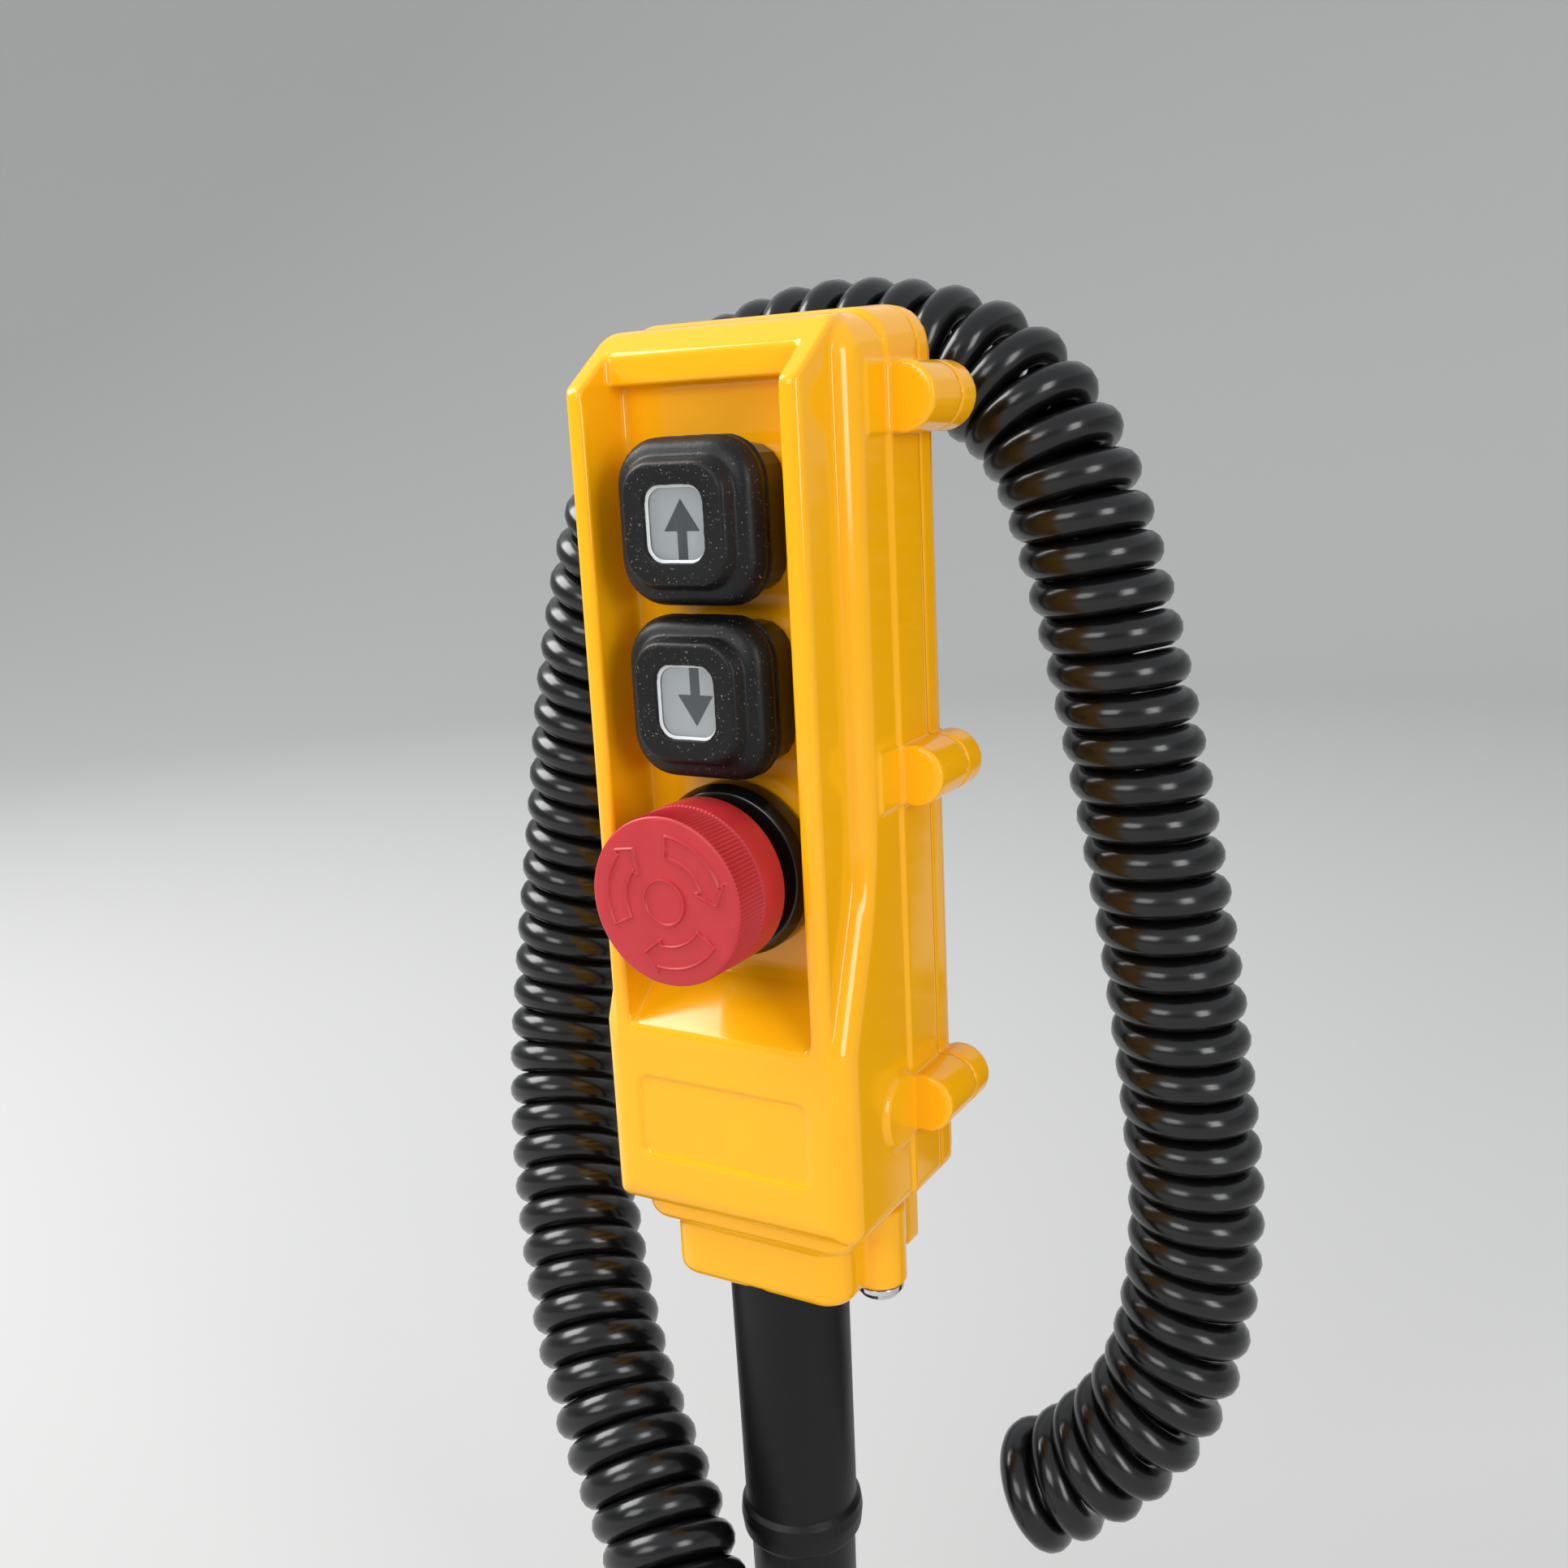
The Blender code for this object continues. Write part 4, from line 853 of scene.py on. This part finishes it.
stopSet = {
    "centre": (0.0, -15.0),
    "floorY": housingSet["floorY"],
    "ribs": 120,
    "perRib": 6,  # points across each rib
    "ribDepth": 0.38,
    "ribbed": (18.6, 26.1),  # the ribs' lower and upper ends, out from the recess floor
    "ribRadius": 15.5,
    # (radius, out, fillet) from the cap's underside to the edge of its face
    "side": (
        (9.0, 7.0, 0.0), (10.0, 7.0, 0.3), (10.0, 11.0, 0.3), (15.9, 11.0, 0.6), (15.9, 18.2, 0.0),
        (15.88, 18.4, 0.0), (15.75, 18.65, 0.0), (15.78, 25.4, 0.0), (15.7, 26.4, 0.7), (13.6, 26.45, 0.0),
    ),
    "face": (13.5, 0.15, 96, 26.45, 0.12),  # outer and inner radius, rings, edge's height, rise to the middle
    "ringRadius": 4.2,
    "arrowBand": (8.2, 12.3),  # inner and outer radius of the raised arrows' outline
    "arrowHead": (7.1, 13.5),
    "tipRadius": 11.1,
    "tails": (85.0, -35.0, -155.0),
    "arrowSweep": 82.0,
    "headSweep": 16.5,
    "lineHalf": 0.22,
    "lineEdge": 0.16,
    "lineHeight": 0.42,
    # (radius, out, fillet) of the collar ring under the cap
    "collar": (
        (10.8, 0.3, 0.0), (16.2, 0.3, 0.2), (16.8, 1.2, 0.5), (16.8, 4.4, 1.0), (15.6, 6.3, 0.8),
        (11.8, 6.5, 0.5), (10.8, 6.0, 0.2), (10.8, 0.35, 0.0),
    ),
}


def toOut(profile, floorY):
    # profiles are (radius, out from the recess floor)
    profile = np.array(profile, float)
    return np.stack([profile[:, 0], floorY - profile[:, 1]], axis=1)


def segmentDistance(px, py, a, b):
    # distance to the nearest point of the line from a to b
    ax, ay = a
    dx, dy = b[0] - ax, b[1] - ay
    t = np.clip(((px - ax) * dx + (py - ay) * dy) / (dx * dx + dy * dy), 0, 1)
    return np.hypot(px - ax - t * dx, py - ay - t * dy)


def raisedMarks(u, v, s):
    # height of the raised lines: three outlined clockwise arrows and a plain ring
    radius = np.hypot(u, v)
    nearest = np.abs(radius - s["ringRadius"])
    inner, outer = s["arrowBand"]
    headIn, headOut = s["arrowHead"]
    sweep, head = math.radians(s["arrowSweep"]), math.radians(s["headSweep"])
    for start in s["tails"]:
        # clockwise angle from the arrow's tail
        away = (math.radians(start) - np.arctan2(v, u)) % (2 * np.pi)
        turn = math.radians(start)
        inside = away < sweep - head
        for r in (inner, outer):
            nearest = np.where(inside, np.minimum(nearest, np.abs(radius - r)), nearest)

        def spot(r, clockwise):
            return r * math.cos(turn - clockwise), r * math.sin(turn - clockwise)

        neck = sweep - head
        tip = spot(s["tipRadius"], sweep)
        strokes = [
            (spot(inner, 0), spot(outer, 0)),
            (spot(inner, neck), spot(headIn, neck)),
            (spot(outer, neck), spot(headOut, neck)),
            (spot(headIn, neck), tip),
            (spot(headOut, neck), tip),
        ]
        for a, b in strokes:
            nearest = np.minimum(nearest, segmentDistance(u, v, a, b))
    rise = np.clip((s["lineHalf"] - nearest) / s["lineEdge"] + 0.5, 0, 1)
    return s["lineHeight"] * rise * rise * (3 - 2 * rise)


def makeMushroom():
    # a turned cap: the front half of its side is ribbed by a cosine of the angle, and marks rise on its face
    s = stopSet
    x0, z0 = s["centre"]
    segments = s["ribs"] * s["perRib"]
    side = filleted(s["side"], 5)
    outer, inner, rings, height, crown = s["face"]
    radius = np.linspace(outer, inner, rings)
    face = np.stack([radius, height + crown * (1 - radius / outer)], axis=1)
    profile = np.vstack([side, face])
    low, high = s["ribbed"]
    ribbed = (profile[:, 1] > low) & (profile[:, 1] < high) & (profile[:, 0] > s["ribRadius"] - 0.5)
    points = turnedPoints(toOut(profile, s["floorY"]), (x0, z0), "y", segments)
    points = points.reshape(len(profile), segments, 3)
    angle = np.arange(segments) * 2 * np.pi / segments
    wave = s["ribDepth"] * (np.cos(s["ribs"] * angle) - 1) / 2
    shrink = 1 + (ribbed[:, None] * wave[None]) / s["ribRadius"]
    points[:, :, 0] = x0 + (points[:, :, 0] - x0) * shrink
    points[:, :, 2] = z0 + (points[:, :, 2] - z0) * shrink
    flat = len(side)
    u, v = points[flat:, :, 0] - x0, points[flat:, :, 2] - z0
    points[flat:, :, 1] -= raisedMarks(u, v, s)
    rows = len(profile)
    makePiece("stop_mushroom_cap", points.reshape(-1, 3), gridFaces(rows, segments), materials["red"],
              "stop_mushroom", ("stop_head",), sharp=50, caps=endCaps(rows, segments))


makeMushroom()
collarProfile = toOut(filleted(stopSet["collar"], 5), stopSet["floorY"])
turnedPiece("stop_collar_ring", collarProfile, stopSet["centre"], "y", 120, materials["black"], "housing",
            ("stop_collar",))
print("controls made")


# cable sleeve, screws and plug

sleeveSet = {
    "centre": (0.0, housingSet["cableY"]),
    # (radius, z, fillet): from inside the collar over the bead to the tapered end, and back through the bore
    "profile": (
        (4.1, -93.0, 0.0), (12.2, -93.0, 0.3), (12.3, -103.5, 2.0), (11.9, -157.6, 0.5),
        (12.8, -158.7, 0.6), (13.1, -161.2, 2.5), (12.7, -164.6, 0.8), (11.2, -166.3, 0.6),
        (11.0, -182.0, 5.0), (7.6, -190.0, 0.6), (4.1, -190.0, 0.3), (4.1, -93.1, 0.0),
    ),
}
turnedPiece("rubber_sleeve", filleted(sleeveSet["profile"], 6), sleeveSet["centre"], "z", 96,
            materials["sleeve"], "housing", ("cable_sleeve",))

anchorSet = {
    "centre": housingSet["anchor"][:2],
    # (radius, z, fillet): shank, then the domed head below it
    "profile": (
        (0.05, -94.0, 0.0), (2.0, -94.0, 0.2), (2.0, -103.8, 0.1), (4.9, -103.8, 0.15), (4.9, -104.8, 0.4),
        (3.9, -106.4, 1.6), (0.05, -107.1, 0.0),
    ),
}
turnedPiece("plated_anchor_screw", filleted(anchorSet["profile"], 6), anchorSet["centre"], "z", 48,
            materials["chrome"], "housing", ("anchor_screw",), closed=False)

plugSet = {
    "centre": (58.0, 55.0),
    "low": -114.7,
    "gripDepth": 0.3,
    "gripRadius": 9.3,  # the grips are cut where a part is wider
    "segments": 192,
    # node: (piece, material, slot, ring or solid, grips round it, (radius, up, fillet) of its profile)
    "parts": {
        "plug_body": ("plug_shell", "black", "black_plastic", False, 12, (
            (0.05, 9.3, 0.0), (8.6, 9.3, 0.2), (10.0, 11.0, 0.8), (10.0, 33.0, 0.8), (8.4, 34.6, 0.6),
            (8.4, 42.0, 0.3), (0.05, 42.0, 0.0),
        )),
        "plug_ring": ("plug_coupling_ring", "steel", "zinc_steel", True, 24, (
            (8.7, 35.0, 0.0), (11.0, 35.0, 0.4), (11.0, 45.0, 0.5), (8.7, 45.0, 0.3), (8.7, 35.1, 0.0),
        )),
        "plug_gland_nut": ("plug_cable_nut", "black", "black_plastic", False, 12, (
            (0.05, 0.0, 0.0), (8.2, 0.0, 0.3), (9.4, 1.2, 0.6), (9.4, 9.0, 0.4), (0.05, 9.0, 0.0),
        )),
    },
}
for node, (name, look, slotName, closed, grips, corners) in plugSet["parts"].items():
    profile = filleted([(r, plugSet["low"] + z, f) for r, z, f in corners], 4)

    def gripRibs(angle, radius, grips=grips):
        # narrow grooves along the widest part
        wide = radius > plugSet["gripRadius"]
        return -plugSet["gripDepth"] * wide * (0.5 - 0.5 * np.cos(grips * angle)) ** 4

    turnedPiece(name, profile, plugSet["centre"], "z", plugSet["segments"], materials[look],
                                  "housing", (node,), closed, gripRibs)

screwSet = {
    "headY": -5.4,
    "segments": 48,
    # (radius, y, fillet) of the shank, then of the head above headY
    "shank": ((0.05, -19.5, 0.0), (1.4, -19.5, 0.2)),
    "head": ((1.4, 0.0, 0.1), (3.25, 0.0, 0.15), (3.3, 1.2, 0.5), (2.2, 1.8, 0.4), (0.05, 1.85, 0.0)),
    "slot": (0.45, 0.1, 0.7, 1.1),  # half width, edge, depth, and how high on the head it starts
}


def makeCoverScrew(number, x, level):
    # a turned screw, with its slot pressed into the head's upper face
    s = screwSet
    head = [(radius, s["headY"] + y, fillet) for radius, y, fillet in s["head"]]
    profile = filleted([*s["shank"], *head], 4)
    points = turnedPoints(profile, (x, level), "y", s["segments"])
    half, edge, depth, start = s["slot"]
    sunk = np.clip((half - np.abs(points[:, 2] - level)) / edge, 0, 1) * depth
    points[:, 1] -= sunk * (points[:, 1] > s["headY"] + start)
    rows, columns = len(profile), s["segments"]
    node = f"cover_screw_{number}"
    makePiece(f"{node}_plated", points, gridFaces(rows, columns), materials["steel"], "housing",
              (node,), sharp=40, caps=endCaps(rows, columns))


for i, (level, _) in enumerate(housingSet["lugs"]):
    for j, side in enumerate((-1, 1)):
        makeCoverScrew(2 * i + j + 1, side * housingSet["lugX"], level)
print("sleeve, screws and plug made")


# the CAD's own pieces get their finishes

finishBySlot = {
    "yellow_abs": "abs", "black_rubber": "hood", "black_plastic": "black", "zinc_steel": "steel",
    "chrome_plate": "chrome", "brass_contact": "brass", "grey_block": "block", "silver_plate": "plate",
    "clear_lens": "lens", "red_plastic": "red", "cord_jacket": "jacket", "wire_black": "wireBlack",
    "wire_blue": "wireBlue", "wire_brown": "wireBrown",
}
slotOf = {row["node"]: row["material_slot"] for row in frame["record"]["subparts"]}
for name, node in frame["nodes"].items():
    node.data.materials.clear()
    node.data.materials.append(materials[finishBySlot[slotOf[name]]])


# floor and light

stageSet = {"floorDrop": 0.03, "radius": 2.6, "bend": 1.0, "height": 1.2, "color": "#BEBEBC"}  # metres
lightSet = {
    # place, aim, width, height (metres) and watts; the key's mirror image covers the left half of the ramp
    "key_box": ((-1.073, -0.290, 0.945), (0.0, -0.041, -0.041), 0.9, 0.8, 22.5),
    "front_box": ((-0.20, -1.55, 0.60), (0.0, 0.0, -0.05), 0.8, 0.7, 8.5),
    "right_box": ((1.4, -0.7, 0.35), (0.0, 0.0, -0.05), 0.5, 0.8, 9.0),
}
worldSet = {"Color": hexColor("#E9ECF0"), "Strength": 0.85}


def makeStage(settings):
    # a pale floor that bends up into a wall all round, so that it shows no horizon
    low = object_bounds()[0].z - settings["floorDrop"]
    bend, radius = settings["bend"], settings["radius"]
    angle = np.linspace(0, np.pi / 2, 24)
    curve = np.stack([radius - bend + bend * np.sin(angle), bend - bend * np.cos(angle)], axis=1)
    profile = np.vstack([[(0.0, 0.0), (0.4, 0.0)], curve, [(radius, settings["height"])]]) + [0.0, low]
    points = turnedPoints(profile, (0.0, 0.0), "z", 96)
    mesh = bpy.data.meshes.new("pale_floor")
    mesh.from_pydata(points.tolist(), [], gridFaces(len(profile), 96).tolist())
    mesh.shade_smooth()
    floor = bpy.data.objects.new("pale_floor", mesh)
    bpy.context.scene.collection.objects.link(floor)
    # paper, rolled: matt and pale
    mesh.materials.append(newMaterial("pale_paper", settings["color"], 0.95)[0])
    floor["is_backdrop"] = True


def softBox(name, place, aim, width, height, power):
    # a rectangular studio light turned towards its aim
    data = bpy.data.lights.new(name, "AREA")
    data.shape = "RECTANGLE"
    data.size = width
    data.size_y = height
    data.energy = power
    light = bpy.data.objects.new(name, data)
    light.location = place
    light.rotation_euler = (Vector(aim) - Vector(place)).to_track_quat("-Z", "Y").to_euler()
    bpy.context.scene.collection.objects.link(light)


makeStage(stageSet)
for name, values in lightSet.items():
    softBox(name, *values)
world = bpy.data.worlds.new("studio")
world.use_nodes = True
for socket, value in worldSet.items():
    world.node_tree.nodes["Background"].inputs[socket].default_value = value
bpy.context.scene.world = world
print("floor and lights made")
bpy.context.scene.view_settings.view_transform = "Standard"
